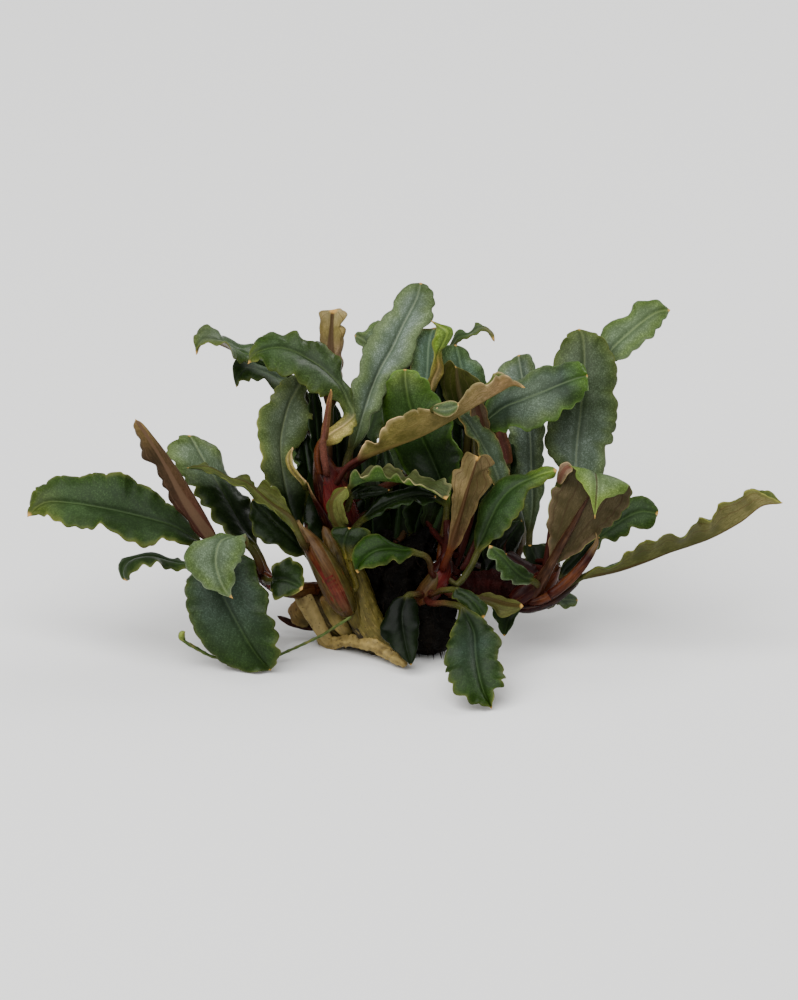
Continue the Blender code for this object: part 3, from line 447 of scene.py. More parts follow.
REST_HEIGHT = 0.00004
CREAM = (0.250, 0.180, 0.055)
PALE_OLIVE = (0.085, 0.068, 0.012)
OLIVE_STEM = (0.045, 0.036, 0.004)
stem_finish = rhizome_skin()


def rhizome_knot():
    """The pieces of the foot grown together, cut flat, with a fine uneven skin."""
    knot = plant_piece(
        "rhizome_knot",
        [strand(piece, [PALE_OLIVE], **FOOT_FORM) for piece in FOOT_PIECES],
        [stem_finish],
        "rhizome_olive",
        "rhizome_foot",
    )
    fuse = knot.modifiers.new("grown together", "REMESH")
    fuse.mode = "VOXEL"
    fuse.voxel_size = FOOT_VOXEL
    graph = bpy.context.evaluated_depsgraph_get()
    grown = bpy.data.meshes.new_from_object(knot.evaluated_get(graph))
    knot.modifiers.remove(fuse)
    grown.name = "rhizome_knot"
    points = np.empty(len(grown.vertices) * 3, np.float32)
    grown.vertices.foreach_get("co", points)
    points = uneven(uneven(points.reshape(-1, 3), *FOOT_LUMPS), *FOOT_GRAIN)
    points[:, 2] = np.maximum(points[:, 2], 0.0)
    grown.vertices.foreach_set("co", points.astype(np.float32).ravel())
    # Painted shade: the foot is painted darker toward the floor it stands on, about a third of its
    # colour at the bottom and full colour from 7 mm up.
    lit = np.clip((points[:, 2:3] - FOOT_SHADE_LOW) / FOOT_SHADE_RISE, 0, 1)
    spots = np.array([[noise.noise(Vector(point / FOOT_CREAM_SIZE)) for point in points]]).T
    cream = np.clip(0.2 + 0.8 * spots, 0, 1)
    blend = np.array(OLIVE_STEM) * (1 - cream) + np.array(CREAM) * cream
    colour_layer(grown, "tone", blend * (0.35 + 0.65 * lit))
    grown.shade_smooth()
    knot.data = grown


rhizome_knot()


# Bare stems and the cream root
# Short side stems of the rhizome stand beside the foot: one pale, one tan, one thick and olive. A root,
# chewed off at its end, creeps forward over the foot. Their skin has ring scars of fallen leaves.
STEM_RUST = (0.140, 0.070, 0.014)
STEM_PALE = [(299, 588, 2.0, 2.0), (303, 597, 1.6, 2.6), (310, 610, 1.4, 2.5), (317, 623, 1.4, 2.2),
             (324, 635, 1.8, 1.9), (332, 645, 2.4, 1.2)]
STEM_TAN = [(306, 590, 5.2, 1.6), (313, 598, 4.6, 3.8), (323, 608, 4.2, 5.0), (332, 618, 4.0, 5.2),
            (341, 628, 4, 4.6), (350, 637, 4, 3.0)]
TAN_CHUNK = [(297, 600, 6.4, 1.8), (300, 608, 6.2, 3.8), (306, 615, 6, 4.2), (314, 621, 5.8, 2.4)]
TAN_FOLD = [(322, 596, 1.6, 1.0), (328, 605, 1.2, 2.0), (336, 618, 1.2, 2.3), (344, 630, 1.4, 2.0),
            (352, 639, 1.6, 1.2)]
STEM_OLIVE = [(350, 562, -2.4, 1.4), (355, 577, -2.2, 2.8), (360, 596, -1.8, 3.6),
              (366, 614, -1.6, 4.2), (375, 631, -1.6, 4.1), (385, 644, -1.8, 3.2),
              (396, 655, -2.4, 1.6)]
OLIVE_STRAND = [(346, 590, -2.0, 1.2), (352, 606, -1.6, 2.4), (360, 624, -1.4, 2.8),
                (368, 640, -1.4, 1.8)]
ROOT_CREAM = [(318, 638, 4.4, 1.3), (330, 643, 2.6, 1.8), (346, 641, 0.8, 1.7), (364, 642, -1.4, 2.0),
              (380, 648, -3.2, 1.9), (393, 656, -4.8, 1.7), (401, 661, -5.8, 1.4),
              (407, 665, -6.4, 0.9)]
PALE_STRAP = (0.250, 0.185, 0.068)
CHUNK_TAN = (0.16, 0.10, 0.025)
TAN_SHADE = (0.060, 0.042, 0.009)
# GAP_SHADE is painted shade: the dark of the gap beside the olive stem, laid on the strand that fills
# it.
GAP_SHADE = (0.016, 0.011, 0.003)
plant_piece(
    "pale_stem",
    [
        strand(STEM_PALE, [PALE_STRAP, PALE_STRAP, PALE_STRAP, CREAM], rows=90, sides=32, ridges=5,
               ridge_depth=0.030, scars=6, scar_depth=0.02, rough=0.06, seed=3, flat=0.45),
    ],
    [stem_finish], "rhizome_cream", "stem_pale",
)
plant_piece(
    "tan_stem",
    [
        strand(STEM_TAN, [STEM_RUST, TAN_SHADE, TAN_SHADE, OLIVE_STEM], rows=90, sides=44, ridges=9,
               ridge_depth=0.025, scars=5, scar_depth=0.03, rough=0.10, seed=4, flat=0.55),
        strand(TAN_FOLD, [STEM_RUST, PALE_OLIVE, CREAM, PALE_OLIVE], rows=70, sides=28, ridges=5,
               ridge_depth=0.03, scars=5, scar_depth=0.03, rough=0.08, seed=22, flat=0.6),
        strand(TAN_CHUNK, [STEM_RUST, CHUNK_TAN, PALE_OLIVE], sides=26, ridges=5, ridge_depth=0.05,
               scars=3, scar_depth=0.05, rough=0.16, seed=20, flat=0.6),
    ],
    [stem_finish], "rhizome_olive", "stem_tan",
)
plant_piece(
    "olive_stem",
    [
        strand(STEM_OLIVE, [OLIVE_STEM, PALE_OLIVE, PALE_OLIVE, PALE_OLIVE], rows=130, sides=52,
               ridges=9, ridge_depth=0.035, scars=6, scar_depth=0.02, rough=0.08, seed=5, flat=0.5),
        # The strand in the gap beside the olive stem is painted near black as the gap's shade.
        strand(OLIVE_STRAND, [OLIVE_STEM, GAP_SHADE, GAP_SHADE], rows=60, sides=28, ridges=7,
               ridge_depth=0.04, scars=6, scar_depth=0.04, rough=0.12, seed=24, flat=0.6),
    ],
    [stem_finish], "rhizome_olive", "stem_olive",
)
plant_piece(
    "cream_root",
    [
        strand(ROOT_CREAM, [CREAM, CREAM, CREAM, CREAM], rows=150, sides=28, ridges=5,
               ridge_depth=0.06, scars=17, scar_depth=0.07, rough=0.24, seed=7, flat=0.8),
    ],
    [stem_finish], "rhizome_cream", "root_cream",
)


# Dark core and old roots
# In the middle the rhizome is old: a dark core of dead sheaths and packed roots, one dark root lump in
# front of it, and a dark sliver of root at the left. Little light reaches them, and the near-black of
# the core and the lump is partly their own dark brown and partly painted shade.
CORE = [(402, 620, 4, 8.0), (401, 599, 3, 9.2), (404, 580, 3.2, 7.8), (414, 560, 4, 5.8),
        (424, 545, 4.8, 4.2), (433, 528, 5.3, 1.8)]
ROOT_LUMP = [(422, 592, 0.4, 5.6), (426, 608, -0.2, 7.4), (426, 626, -0.6, 7.8), (425, 641, -1.2, 7.0),
             (424, 652, -1.8, 4.6)]
ROOT_SLIVER = [(276, 616, 8, 0.3), (288, 622, 7.6, 1.0), (302, 626, 7.2, 1.2), (316, 629, 6.8, 0.8)]
RIGHT_RHIZOME = [(434, 602, -0.2, 2.2), (447, 598, 0.2, 3.6), (465, 592, 1.2, 4.6),
                 (485, 587, 1.4, 4.8), (505, 589, 0.8, 4.2), (522, 597, -0.4, 2.2)]
CORE_SIDE = [(364, 612, 2.4, 3.0), (368, 592, 2.8, 5.0), (374, 570, 3.2, 5.0), (382, 548, 4.0, 3.4),
             (388, 530, 4.6, 1.6)]
# NEAR_BLACK and the dead brown of the core and the lump are partly their own colour and partly painted
# shade.
NEAR_BLACK = (0.0012, 0.001, 0.0007)
DEAD_BROWN_AND_SHADE = (0.0035, 0.0024, 0.0014)
MAROON = (0.008, 0.0014, 0.0010)
ROOT_STREAK = (0.005, 0.0034, 0.002)
ROOT_SPECK = (0.0014, 0.001, 0.0007)
SLIVER_BROWN = (0.034, 0.014, 0.009)
RHIZOME_RED = (0.020, 0.003, 0.0025)
ROOT_PATCHES = 700
ROOT_GRIT = 3600
ROOT_RELIEF = 0.0003
ROOT_GLOSS = 0.05


def root_skin():
    """Old wet roots: dark brown, lighter in thin streaks, with a dull shine."""
    material, tree, shader = new_skin("old root skin")
    place = place_of(tree)
    patches = mottle(tree, place, ROOT_PATCHES, 4.0)
    grit = mottle(tree, place, ROOT_GRIT)
    colour = mark(tree, "tone", "Color")
    streaked = tint(tree, ease(tree, patches, 0.50, 0.70, 0.0, 0.6), colour, (*ROOT_STREAK, 1.0))
    gritty = tint(tree, ease(tree, grit, 0.56, 0.70, 0.0, 0.6), streaked, (*ROOT_SPECK, 1.0))
    tree.links.new(gritty, shader.inputs["Base Color"])
    tree.links.new(ease(tree, grit, 0.3, 0.7, 0.40, 0.75), shader.inputs["Roughness"])
    height = reckon(tree, "ADD", patches, grit)
    tree.links.new(relief(tree, height, 0.7, ROOT_RELIEF), shader.inputs["Normal"])
    shader.inputs["Specular IOR Level"].default_value = ROOT_GLOSS
    return material


root_finish = root_skin()
core = plant_piece(
    "dark_core",
    [
        strand(CORE, [NEAR_BLACK, DEAD_BROWN_AND_SHADE, NEAR_BLACK], rows=60, sides=40, ridges=9,
               ridge_depth=0.10, scars=7, scar_depth=0.10, rough=0.7, seed=8),
        strand(CORE_SIDE, [NEAR_BLACK, DEAD_BROWN_AND_SHADE], rows=50, sides=36, ridges=9, ridge_depth=0.10,
               scars=7, scar_depth=0.10, rough=0.6, seed=30),
    ],
    [root_finish], "root_dark", "crown_back",
)
lump = plant_piece(
    "root_lump",
    [
        strand(ROOT_LUMP, [NEAR_BLACK, DEAD_BROWN_AND_SHADE], sides=24, ridges=5, ridge_depth=0.14, scars=5,
               scar_depth=0.08, rough=0.45, seed=9),
    ],
    [root_finish], "root_dark", "root_mass",
)
plant_piece(
    "root_sliver",
    [
        strand(ROOT_SLIVER, [SLIVER_BROWN], rows=36, sides=14, ridges=3, ridge_depth=0.10, rough=0.10,
               seed=10),
    ],
    [root_finish], "root_dark",
)
plant_piece(
    "right_rhizome",
    [
        strand(RIGHT_RHIZOME, [MAROON, RHIZOME_RED, MAROON], rows=60, sides=26, ridges=6,
               ridge_depth=0.08, scars=7, scar_depth=0.12, rough=0.22, seed=11),
    ],
    [root_finish], "crown_red", "rhizome_right",
)


# Fine roots
# Thin brown roots and root hairs grow out of the dark core and the root lump, wander a few millimetres
# and sink to the surface that the clump stands on. One small tree of nodes grows both bunches.
ROOT_BROWN = (0.007, 0.0045, 0.0028)
ROOT_BEADS = 9
ROOT_SIDES = 5
ROOT_BENDS = 420.0
SHORTEST_ROOT = 0.35
ROOT_INPUTS = [
    ("Bark", "NodeSocketGeometry"),
    ("Roots per square metre", "NodeSocketFloat"),
    ("Length", "NodeSocketFloat"),
    ("Wander", "NodeSocketFloat"),
    ("Sink", "NodeSocketFloat"),
    ("Thickness", "NodeSocketFloat"),
    ("Seed", "NodeSocketInt"),
    ("Finish", "NodeSocketMaterial"),
]


def fine_root_tree():
    """A tree of nodes that grows thin roots from the faces of a piece."""
    tree = bpy.data.node_groups.new("fine roots", "GeometryNodeTree")
    for name, kind in ROOT_INPUTS:
        tree.interface.new_socket(name=name, in_out="INPUT", socket_type=kind)
    tree.interface.new_socket(name="Roots", in_out="OUTPUT", socket_type="NodeSocketGeometry")
    given = tree.nodes.new("NodeGroupInput").outputs

    def step(kind, **fill):
        """The first output of a new geometry node whose inputs are filled."""
        named = {name.replace("_", " "): value for name, value in fill.items()}
        return grow(tree, "GeometryNode" + kind, None, named).outputs[0]

    def sum_of(operation, fill):
        """The outcome of one sum of vectors."""
        return grow(tree, "ShaderNodeVectorMath", {"operation": operation}, fill).outputs[0]

    spread = {"Mesh": given["Bark"], "Density": given["Roots per square metre"], "Seed": given["Seed"]}
    scatter = grow(tree, "GeometryNodeDistributePointsOnFaces", None, spread).outputs
    straight = step("CurvePrimitiveLine", End=(0.0, 0.0, 1.0))
    beads = step("ResampleCurve", Curve=straight, Count=ROOT_BEADS)
    shares = {2: SHORTEST_ROOT, 3: 1.0, "Seed": given["Seed"]}
    share = grow(tree, "FunctionNodeRandomValue", None, shares).outputs[1]
    length = reckon(tree, "MULTIPLY", share, given["Length"])
    planted = step("InstanceOnPoints", Points=scatter["Points"], Instance=beads,
                   Rotation=scatter["Rotation"], Scale=length)
    real = step("RealizeInstances", Geometry=planted)
    along = grow(tree, "GeometryNodeSplineParameter").outputs["Factor"]
    bends = {"Vector": step("InputPosition"), "Scale": ROOT_BENDS, "Detail": 1.0}
    drift = grow(tree, "ShaderNodeTexNoise", None, bends).outputs[1]
    centred = sum_of("SUBTRACT", {0: drift, 1: (0.5, 0.5, 0.5)})
    pull = reckon(tree, "MULTIPLY", along, given["Wander"])
    swayed = sum_of("SCALE", {0: centred, "Scale": pull})
    fall = reckon(tree, "MULTIPLY", reckon(tree, "POWER", along, 1.6), given["Sink"])
    down = grow(tree, "ShaderNodeCombineXYZ", None, {"Z": reckon(tree, "MULTIPLY", fall, -1.0)})
    offset = sum_of("ADD", {0: swayed, 1: down.outputs[0]})
    bent = step("SetPosition", Geometry=real, Offset=offset)
    split = grow(tree, "ShaderNodeSeparateXYZ", None, {0: step("InputPosition")}).outputs
    lowest = reckon(tree, "MULTIPLY", given["Thickness"], 1.3)
    height = reckon(tree, "MAXIMUM", split[2], lowest)
    resting = grow(tree, "ShaderNodeCombineXYZ", None, {"X": split[0], "Y": split[1], "Z": height})
    laid = step("SetPosition", Geometry=bent, Position=resting.outputs[0])
    circle = step("CurvePrimitiveCircle", Resolution=ROOT_SIDES, Radius=given["Thickness"])
    taper = reckon(tree, "SUBTRACT", 1.15, along)
    skin = step("CurveToMesh", Curve=laid, Profile_Curve=circle, Scale=taper, Fill_Caps=True)
    smooth = step("SetShadeSmooth", Geometry=skin)
    finished = step("SetMaterial", Geometry=smooth, Material=given["Finish"])
    out = tree.nodes.new("NodeGroupOutput")
    tree.links.new(finished, out.inputs["Roots"])
    return tree


def fine_roots(name, bark, **sizes):
    """Grows one bunch of fine roots from a piece, as a plain mesh. Its sizes fill the inputs of the
    tree of nodes."""
    bunch = bpy.data.objects.new(name, bark.data.copy())
    bpy.context.scene.collection.objects.link(bunch)
    grower = bunch.modifiers.new("fine roots", "NODES")
    grower.node_group = root_grower
    inputs = [item for item in root_grower.interface.items_tree if item.in_out == "INPUT"]
    socket = {item.name: item.identifier for item in inputs}
    for size, value in {**sizes, "Finish": root_finish}.items():
        grower[socket[size.replace("_", " ")]] = value
    graph = bpy.context.evaluated_depsgraph_get()
    grown = bpy.data.meshes.new_from_object(bunch.evaluated_get(graph))
    bunch.modifiers.remove(grower)
    grown.name = name
    for layer in (*COLOUR_LAYERS, *PLACE_LAYERS, "grain"):
        if layer in grown.attributes:
            grown.attributes.remove(grown.attributes[layer])
    colour_layer(grown, "tone", np.tile(ROOT_BROWN, (len(grown.vertices), 1)))
    bunch.data = grown
    settled(bunch, "root_dark")


root_grower = fine_root_tree()
fine_roots("core_roots", core, Roots_per_square_metre=140000.0, Length=0.0026, Wander=0.005, Sink=0.0016,
           Thickness=0.00012, Seed=3)
fine_roots("lump_roots", lump, Roots_per_square_metre=300000.0, Length=0.0010, Wander=0.002, Sink=0.0012,
           Thickness=0.00009, Seed=5)


# Runner
# A thread-thin green runner leaves the pink crown at the left, dips to the surface and ends in a small
# yellow-green bud.
RUNNER = [(352, 616, -5.4, 0.42), (336, 626, -4.8, 0.40), (322, 635, -4, 0.40), (301, 645, -3.6, 0.42),
          (278, 655, -3.6, 0.40), (262, 659, -3.8, 0.40), (245, 660, -4.2, 0.42),
          (228, 659, -4.6, 0.46), (212, 656, -5, 0.40), (197, 648, -5.6, 0.55), (185, 641, -6, 0.50),
          (181, 636, -6, 0.30)]
RUNNER_BUD = [(186, 642, -6, 0.4), (182, 637, -6, 1.0), (183, 633, -6.2, 0.9), (186, 631, -6.4, 0.3)]
RUNNER_GREEN = (0.045, 0.075, 0.012)
BUD_GREEN = (0.16, 0.20, 0.03)
plant_piece(
    "green_runner",
    [
        strand(RUNNER, [RUNNER_GREEN], rows=120, sides=10, scars=22, scar_depth=0.25, rough=0.03,
               seed=12),
        strand(RUNNER_BUD, [RUNNER_GREEN, BUD_GREEN], rows=16, sides=10, ridges=3, ridge_depth=0.15,
               rough=0.05, seed=13),
    ],
    [stem_finish], "leaf_green", "runner",
)


# Crowns
# Each crown is a short upright stem wrapped in pointed leaf sheaths, deep red to pink where they are
# young and wet, tan and dry at their edges and tips. The leaf stalks come out between the sheaths.
SHEATH_THICKNESS = 0.00012
SHEATH_GAP = 0.00008
THINNEST_CROWN = 0.00015
SHEATH_PATCHES = 520
SHEATH_RELIEF = 0.00012
SHEATH_GLOSS = 0.11
SHEATH_SHADE = (0.45, 0.38, 0.36, 1.0)
SHEATH_LIGHT = (0.20, 0.11, 0.045, 1.0)
CROWN_POINTS = 60
DEEP_RED = (0.022, 0.0020, 0.0015)
WINE = (0.012, 0.0015, 0.0012)
PINK_RED = (0.085, 0.008, 0.007)
SALMON = (0.090, 0.017, 0.009)
SHEATH_TAN = (0.065, 0.032, 0.010)
SHEATH_OLIVE = (0.048, 0.038, 0.008)
RUST = (0.060, 0.016, 0.004)
EMBER = (0.082, 0.022, 0.006)
BRISTLE = (0.22, 0.15, 0.06)
STEM_DARK = (0.020, 0.012, 0.005)


def sheath_skin():
    """Wet leaf sheaths: the piece's own colour in fine lengthwise streaks, glossy."""
    material, tree, shader = new_skin("wet sheath skin")
    streaks = mottle(tree, drawn_out(tree, 4.5, 0.5), 1.0, 3.0)
    patches = mottle(tree, place_of(tree), SHEATH_PATCHES, 3.0)
    colour = mark(tree, "tone", "Color")
    darker = tint(tree, 1.0, colour, SHEATH_SHADE, "MULTIPLY")
    lighter = tint(tree, 0.16, colour, SHEATH_LIGHT)
    streaked = tint(tree, ease(tree, streaks, 0.36, 0.52, 0.75, 0.0), colour, darker)
    streaked = tint(tree, ease(tree, streaks, 0.54, 0.70), streaked, lighter)
    patched = tint(tree, ease(tree, patches, 0.52, 0.68, 0.0, 0.45), streaked, darker)
    tree.links.new(patched, shader.inputs["Base Color"])
    tree.links.new(ease(tree, patches, 0.3, 0.7, 0.24, 0.42), shader.inputs["Roughness"])
    tree.links.new(relief(tree, streaks, 0.45, SHEATH_RELIEF), shader.inputs["Normal"])
    shader.inputs["Specular IOR Level"].default_value = SHEATH_GLOSS
    return material


def sheath(places, start, end, turn, wrap, lift, colours, rows=22, columns=13):
    """A pointed sheath round the part of a crown from start to end of its length. It faces turn degrees
    round from the camera's right, wraps that many degrees to each side, and lifts off toward its tip."""
    line = smooth_line([(*seen(place), place[3] * MILLIMETRE / 2) for place in places], CROWN_POINTS)
    along, first, second = carried_square(line[:, :3])
    travel = start + (end - start) * np.linspace(0, 1, rows)
    slots = np.clip(travel, 0, 1) * (CROWN_POINTS - 1)

    def read_at(values):
        """The values of the crown's line at each row of the sheath."""
        return np.stack([np.interp(slots, np.arange(CROWN_POINTS), value) for value in values.T], axis=1)

    centre = read_at(line)
    length = np.linalg.norm(np.diff(line[:, :3], axis=0), axis=1).sum()
    beyond = np.clip(travel - 1, 0, None)[:, None] * length * along[-1]
    share = np.linspace(0, 1, rows)
    reach = np.maximum(centre[:, 3], THINNEST_CROWN) * 1.06 + lift * MILLIMETRE * share**2 + SHEATH_GAP
    spread = math.radians(wrap) * (1 - share**2.2) ** 0.75 + 0.015
    side = np.linspace(-1, 1, columns)
    angle = math.radians(turn) + spread[:, None] * side[None, :]
    outward = np.cos(angle)[..., None] * read_at(first)[:, None, :]
    outward = outward + np.sin(angle)[..., None] * read_at(second)[:, None, :]
    middle = (centre[:, :3] + beyond)[:, None, :]
    outer = middle + outward * reach[:, None, None]
    inner = middle + outward * (reach - SHEATH_THICKNESS)[:, None, None]
    rings = np.concatenate([outer, inner[:, ::-1]], axis=1)
    around = angle * reach.mean()
    around = np.concatenate([around, around[:, ::-1]], axis=1)
    far = np.broadcast_to((share * length * abs(end - start))[:, None], around.shape)
    return painted({"rings": rings, "grain": np.stack([around, far], axis=-1)}, *colours)


sheath_finish = sheath_skin()
crown_lines = []


def crown(name, node, slot, places, core_colours, sheaths):
    """A crown: its stem, and the sheaths round it, each written as its start, end, turn, wrap, lift and
    colours. Leaf stalks start on the crown's line."""
    crown_lines.append(smooth_line([seen(place) for place in places], CROWN_POINTS))
    shapes = [strand(places, core_colours, rows=60, sides=26, ridges=7, ridge_depth=0.05, scars=6,
                     scar_depth=0.05, rough=0.10, seed=len(name))]
    shapes += [sheath(places, *sizes, colours) for *sizes, colours in sheaths]
    plant_piece(name, shapes, [sheath_finish], slot, node)


crown(
    "far_left_crown", "crown_far_left", "crown_red",
    [(322, 588, 3.2, 1.6), (304, 590, 2, 2.2), (288, 590, 0, 2.0), (273, 584, -2.6, 1.9),
     (263, 577, -4, 1.4), (257, 570, -4.3, 0.5)],
    [RUST, RUST, DEEP_RED, DEEP_RED],
    [
        (0.10, 0.55, 250, 80, 0.2, [RUST, SHEATH_TAN, SHEATH_TAN]),
        (0.35, 0.80, 100, 85, 0.1, [RUST, DEEP_RED, SHEATH_TAN]),
        (0.52, 1.02, 270, 95, 0.3, [DEEP_RED, PINK_RED, SHEATH_TAN]),
        (0.60, 1.12, 60, 80, 0.4, [DEEP_RED, DEEP_RED, SHEATH_OLIVE]),
    ],
)
crown(
    "left_crown", "crown_left", "crown_pink",
    [(349, 614, -1.6, 1.5), (346, 607, -2.8, 3.1), (340, 595, -3.5, 4.0), (331, 577, -4, 4.0),
     (321, 559, -4, 3.4), (311, 543, -3.4, 2.4), (301, 528, -2.6, 0.9), (298, 520, -2.4, 0.3)],
    [SHEATH_OLIVE, SALMON, PINK_RED, SHEATH_TAN, BRISTLE],
    [
        (0.02, 0.78, 190, 60, 0.1, [SHEATH_OLIVE, SHEATH_TAN, SHEATH_OLIVE, SHEATH_TAN]),
        (0.05, 0.90, 350, 55, 0.1, [SHEATH_OLIVE, SHEATH_OLIVE, SHEATH_OLIVE, SHEATH_TAN]),
        (0.08, 0.98, 235, 52, 0.05, [SHEATH_TAN, SALMON, PINK_RED, RUST, SHEATH_TAN, BRISTLE]),
        (0.18, 1.00, 150, 60, 0.15, [SHEATH_TAN, SHEATH_TAN, SHEATH_OLIVE, BRISTLE]),
        (0.25, 1.00, 300, 50, 0.15, [SALMON, SHEATH_TAN, SHEATH_TAN, BRISTLE]),
    ],
)
OLIVE_STALK = [(323, 526, -1.8, 0.6), (328, 536, -2.2, 1.8), (334, 552, -2.4, 2.9),
               (341, 572, -2.4, 3.6), (348, 594, -2.4, 3.2), (354, 614, -2.2, 2.4),
               (360, 630, -1.6, 1.6)]
DARK_STALK = [(345, 540, -0.4, 1.8), (350, 558, -0.4, 2.8), (357, 580, -0.6, 3.2),
              (366, 602, -0.6, 3.0), (374, 622, -0.6, 2.4)]
plant_piece(
    "stalks_beside_pink_crown",
    [
        strand(OLIVE_STALK, [SHEATH_TAN, SHEATH_OLIVE, SHEATH_OLIVE, PALE_OLIVE], rows=80, sides=32,
               ridges=8, ridge_depth=0.05, rough=0.08, seed=18, flat=0.6),
        strand(DARK_STALK, [STEM_DARK, OLIVE_STEM, OLIVE_STEM, PALE_OLIVE], rows=70, sides=32,
               ridges=8, ridge_depth=0.05, rough=0.10, seed=19, flat=0.6),
    ],
    [sheath_finish], "rhizome_olive",
)
crown(
    "top_crown", "crown_top", "crown_red",
    [(358, 612, 4, 2.8), (354, 585, 3, 3.8), (347, 548, 1.6, 4.6), (342, 522, 0.8, 5.2),
     (335, 500, 0.2, 5.0), (329, 482, -0.4, 4.2), (323, 462, -0.6, 2.2), (321, 450, -0.6, 0.7)],
    [SHEATH_OLIVE, WINE, WINE, DEEP_RED, WINE],
    [
        (0.30, 0.66, 250, 75, 0.2, [WINE, DEEP_RED, DEEP_RED]),
        (0.42, 0.84, 185, 60, 1.1, [WINE, WINE, WINE, DEEP_RED, BRISTLE]),
        (0.50, 0.92, 290, 70, 0.3, [DEEP_RED, PINK_RED, DEEP_RED]),
        (0.56, 0.96, 215, 60, 0.4, [DEEP_RED, DEEP_RED, WINE, RUST]),
        (0.55, 0.90, 60, 90, 0.3, [WINE, DEEP_RED, RUST]),
        (0.62, 1.02, 330, 60, 0.2, [DEEP_RED, RUST, DEEP_RED]),
    ],
)
crown(
    "middle_crown", "crown_centre", "crown_red",
    [(418, 604, -3, 2.2), (424, 598, -3, 3.0), (434, 585, -3, 3.2), (441, 574, -2.6, 3.0),
     (445, 560, -2.2, 1.7), (447, 550, -2, 0.5)],
    [RUST, DEEP_RED, DEEP_RED, WINE],
    [
        (0.00, 0.55, 240, 70, 0.15, [RUST, SHEATH_TAN, SHEATH_OLIVE]),
        (0.12, 0.85, 290, 60, 0.15, [DEEP_RED, PINK_RED, DEEP_RED]),
        (0.20, 0.95, 200, 60, 0.2, [DEEP_RED, DEEP_RED, WINE]),
        (0.25, 1.05, 90, 90, 0.2, [WINE, WINE, SHEATH_TAN]),
        (0.30, 1.08, 340, 60, 0.25, [DEEP_RED, WINE, RUST]),
    ],
)
crown(
    "right_crown", "crown_right", "crown_red",
    [(512, 602, -2.4, 2.0), (521, 597, -2.4, 3.0), (534, 588, -2.4, 3.2), (545, 580, -1.8, 3.0),
     (553, 568, -1, 1.8), (557, 560, -0.6, 0.6)],
    [DEEP_RED, DEEP_RED, EMBER, RUST],
    [
        (0.00, 0.60, 250, 70, 0.1, [DEEP_RED, DEEP_RED, RUST]),
        (0.15, 0.80, 300, 65, 0.2, [DEEP_RED, EMBER, SALMON]),
        (0.22, 0.95, 210, 60, 0.25, [WINE, DEEP_RED, DEEP_RED]),
        (0.30, 0.95, 330, 60, 0.20, [DEEP_RED, EMBER, RUST]),
        (0.25, 0.85, 90, 90, 0.1, [WINE, WINE, WINE]),
    ],
)
FAN_RIB = (0.036, 0.015, 0.007)
FAN_STALK = [(520, 602, -1.6, 2.2), (534, 592, -3.0, 2.4), (544, 576, -4.4, 1.8), (554, 558, -5.5, 1.4),
             (565, 538, -6.6, 1.2), (576, 519, -7.4, 0.9), (588, 497, -8.0, 0.4)]
LOW_STALK = [(500, 600, -1.2, 1.2), (522, 608, -2.4, 1.6), (545, 604, -3.0, 1.5), (564, 593, -3.2, 1.2),
             (580, 579, -3.0, 0.7)]
plant_piece(
    "right_stalk_bases",
    [
        strand(FAN_STALK, [DEEP_RED, FAN_RIB, FAN_RIB, FAN_RIB], rows=70, ridges=3, ridge_depth=0.08,
               rough=0.08, seed=16),
        strand(LOW_STALK, [WINE, WINE, WINE, STEM_DARK], rows=50, ridges=3, ridge_depth=0.08,
               rough=0.08, seed=17),
    ],
    [sheath_finish], "crown_red",
)
SPATHE = [(526, 603, -3.0, 1.0), (540, 600, -3.8, 1.3), (556, 591, -4.4, 1.4), (571, 578, -4.8, 1.4),
          (583, 565, -5, 1.3), (592, 552, -5, 1.0), (597, 543, -5, 0.6), (597, 536, -5, 0.2)]
plant_piece(
    "rolled_spathe",
    [
        strand(SPATHE, [DEEP_RED, EMBER, DEEP_RED, SHEATH_TAN], rows=50, ridges=2, ridge_depth=0.08,
               rough=0.05, seed=15),
        sheath(SPATHE, 0.25, 1.04, 260, 80, 0.35, [DEEP_RED, EMBER, DEEP_RED, BRISTLE]),
    ],
    [sheath_finish], "leaf_brown", "spathe",
)


# Leaves of the far left crown
# A leaf is one thin leathery blade on a stalk: speckled dark green and wet on its upper side, tan-brown
# with a red rib underneath, its margin ruffled and pale, its tip golden. Each grows from its crown.
STALK_WIDTH = 0.0011
STALK_THICKNESS = 0.0009
BLADE_HALF = 0.00015
RIM_TAPER = 10
COLUMNS_ACROSS = np.array([0, 0.035, 0.08, 0.15, 0.25, 0.38, 0.52, 0.66, 0.79, 0.89, 0.96, 1.0])
ACROSS = np.concatenate([-COLUMNS_ACROSS[:0:-1], COLUMNS_ACROSS])
LANES_ROUND = np.concatenate([ACROSS, ACROSS[-2:0:-1]])
IS_UNDER = np.arange(len(LANES_ROUND)) >= len(ACROSS)
ROW_SPACING = 0.00022
FEWEST_ROWS = 34
MOST_ROWS = 130
STALK_ROW_SPACING = 0.0006
STALK_LUMPS = (0.0016, 0.00008)
FEWEST_STALK_ROWS = 12
BLADE_START = 0.16
TIP_TAPER = 0.03
TIP_SIZE = 0.15
STALK_BLEND = 0.07
RIB_SOFTNESS = 0.08
THINNEST_BLADE = 0.00001
RIB_HEIGHT = 0.00034
RIB_TIP_HEIGHT = 0.00006
RIB_WIDTH = 0.00025
RIB_TIP_WIDTH = 0.00022
GROOVE_DEPTH = 0.00010
GROOVE_WIDTH = 0.00028
FULL_RIM_WIDTH = 0.0080
FAR_FROM_TIP = 99.0
SCALLOP_LENGTH = 0.0024
SCALLOP_DEPTH = 0.00038
RUFFLE_HEIGHT = 0.00040
BROAD_RUFFLE_HEIGHT = 0.0010
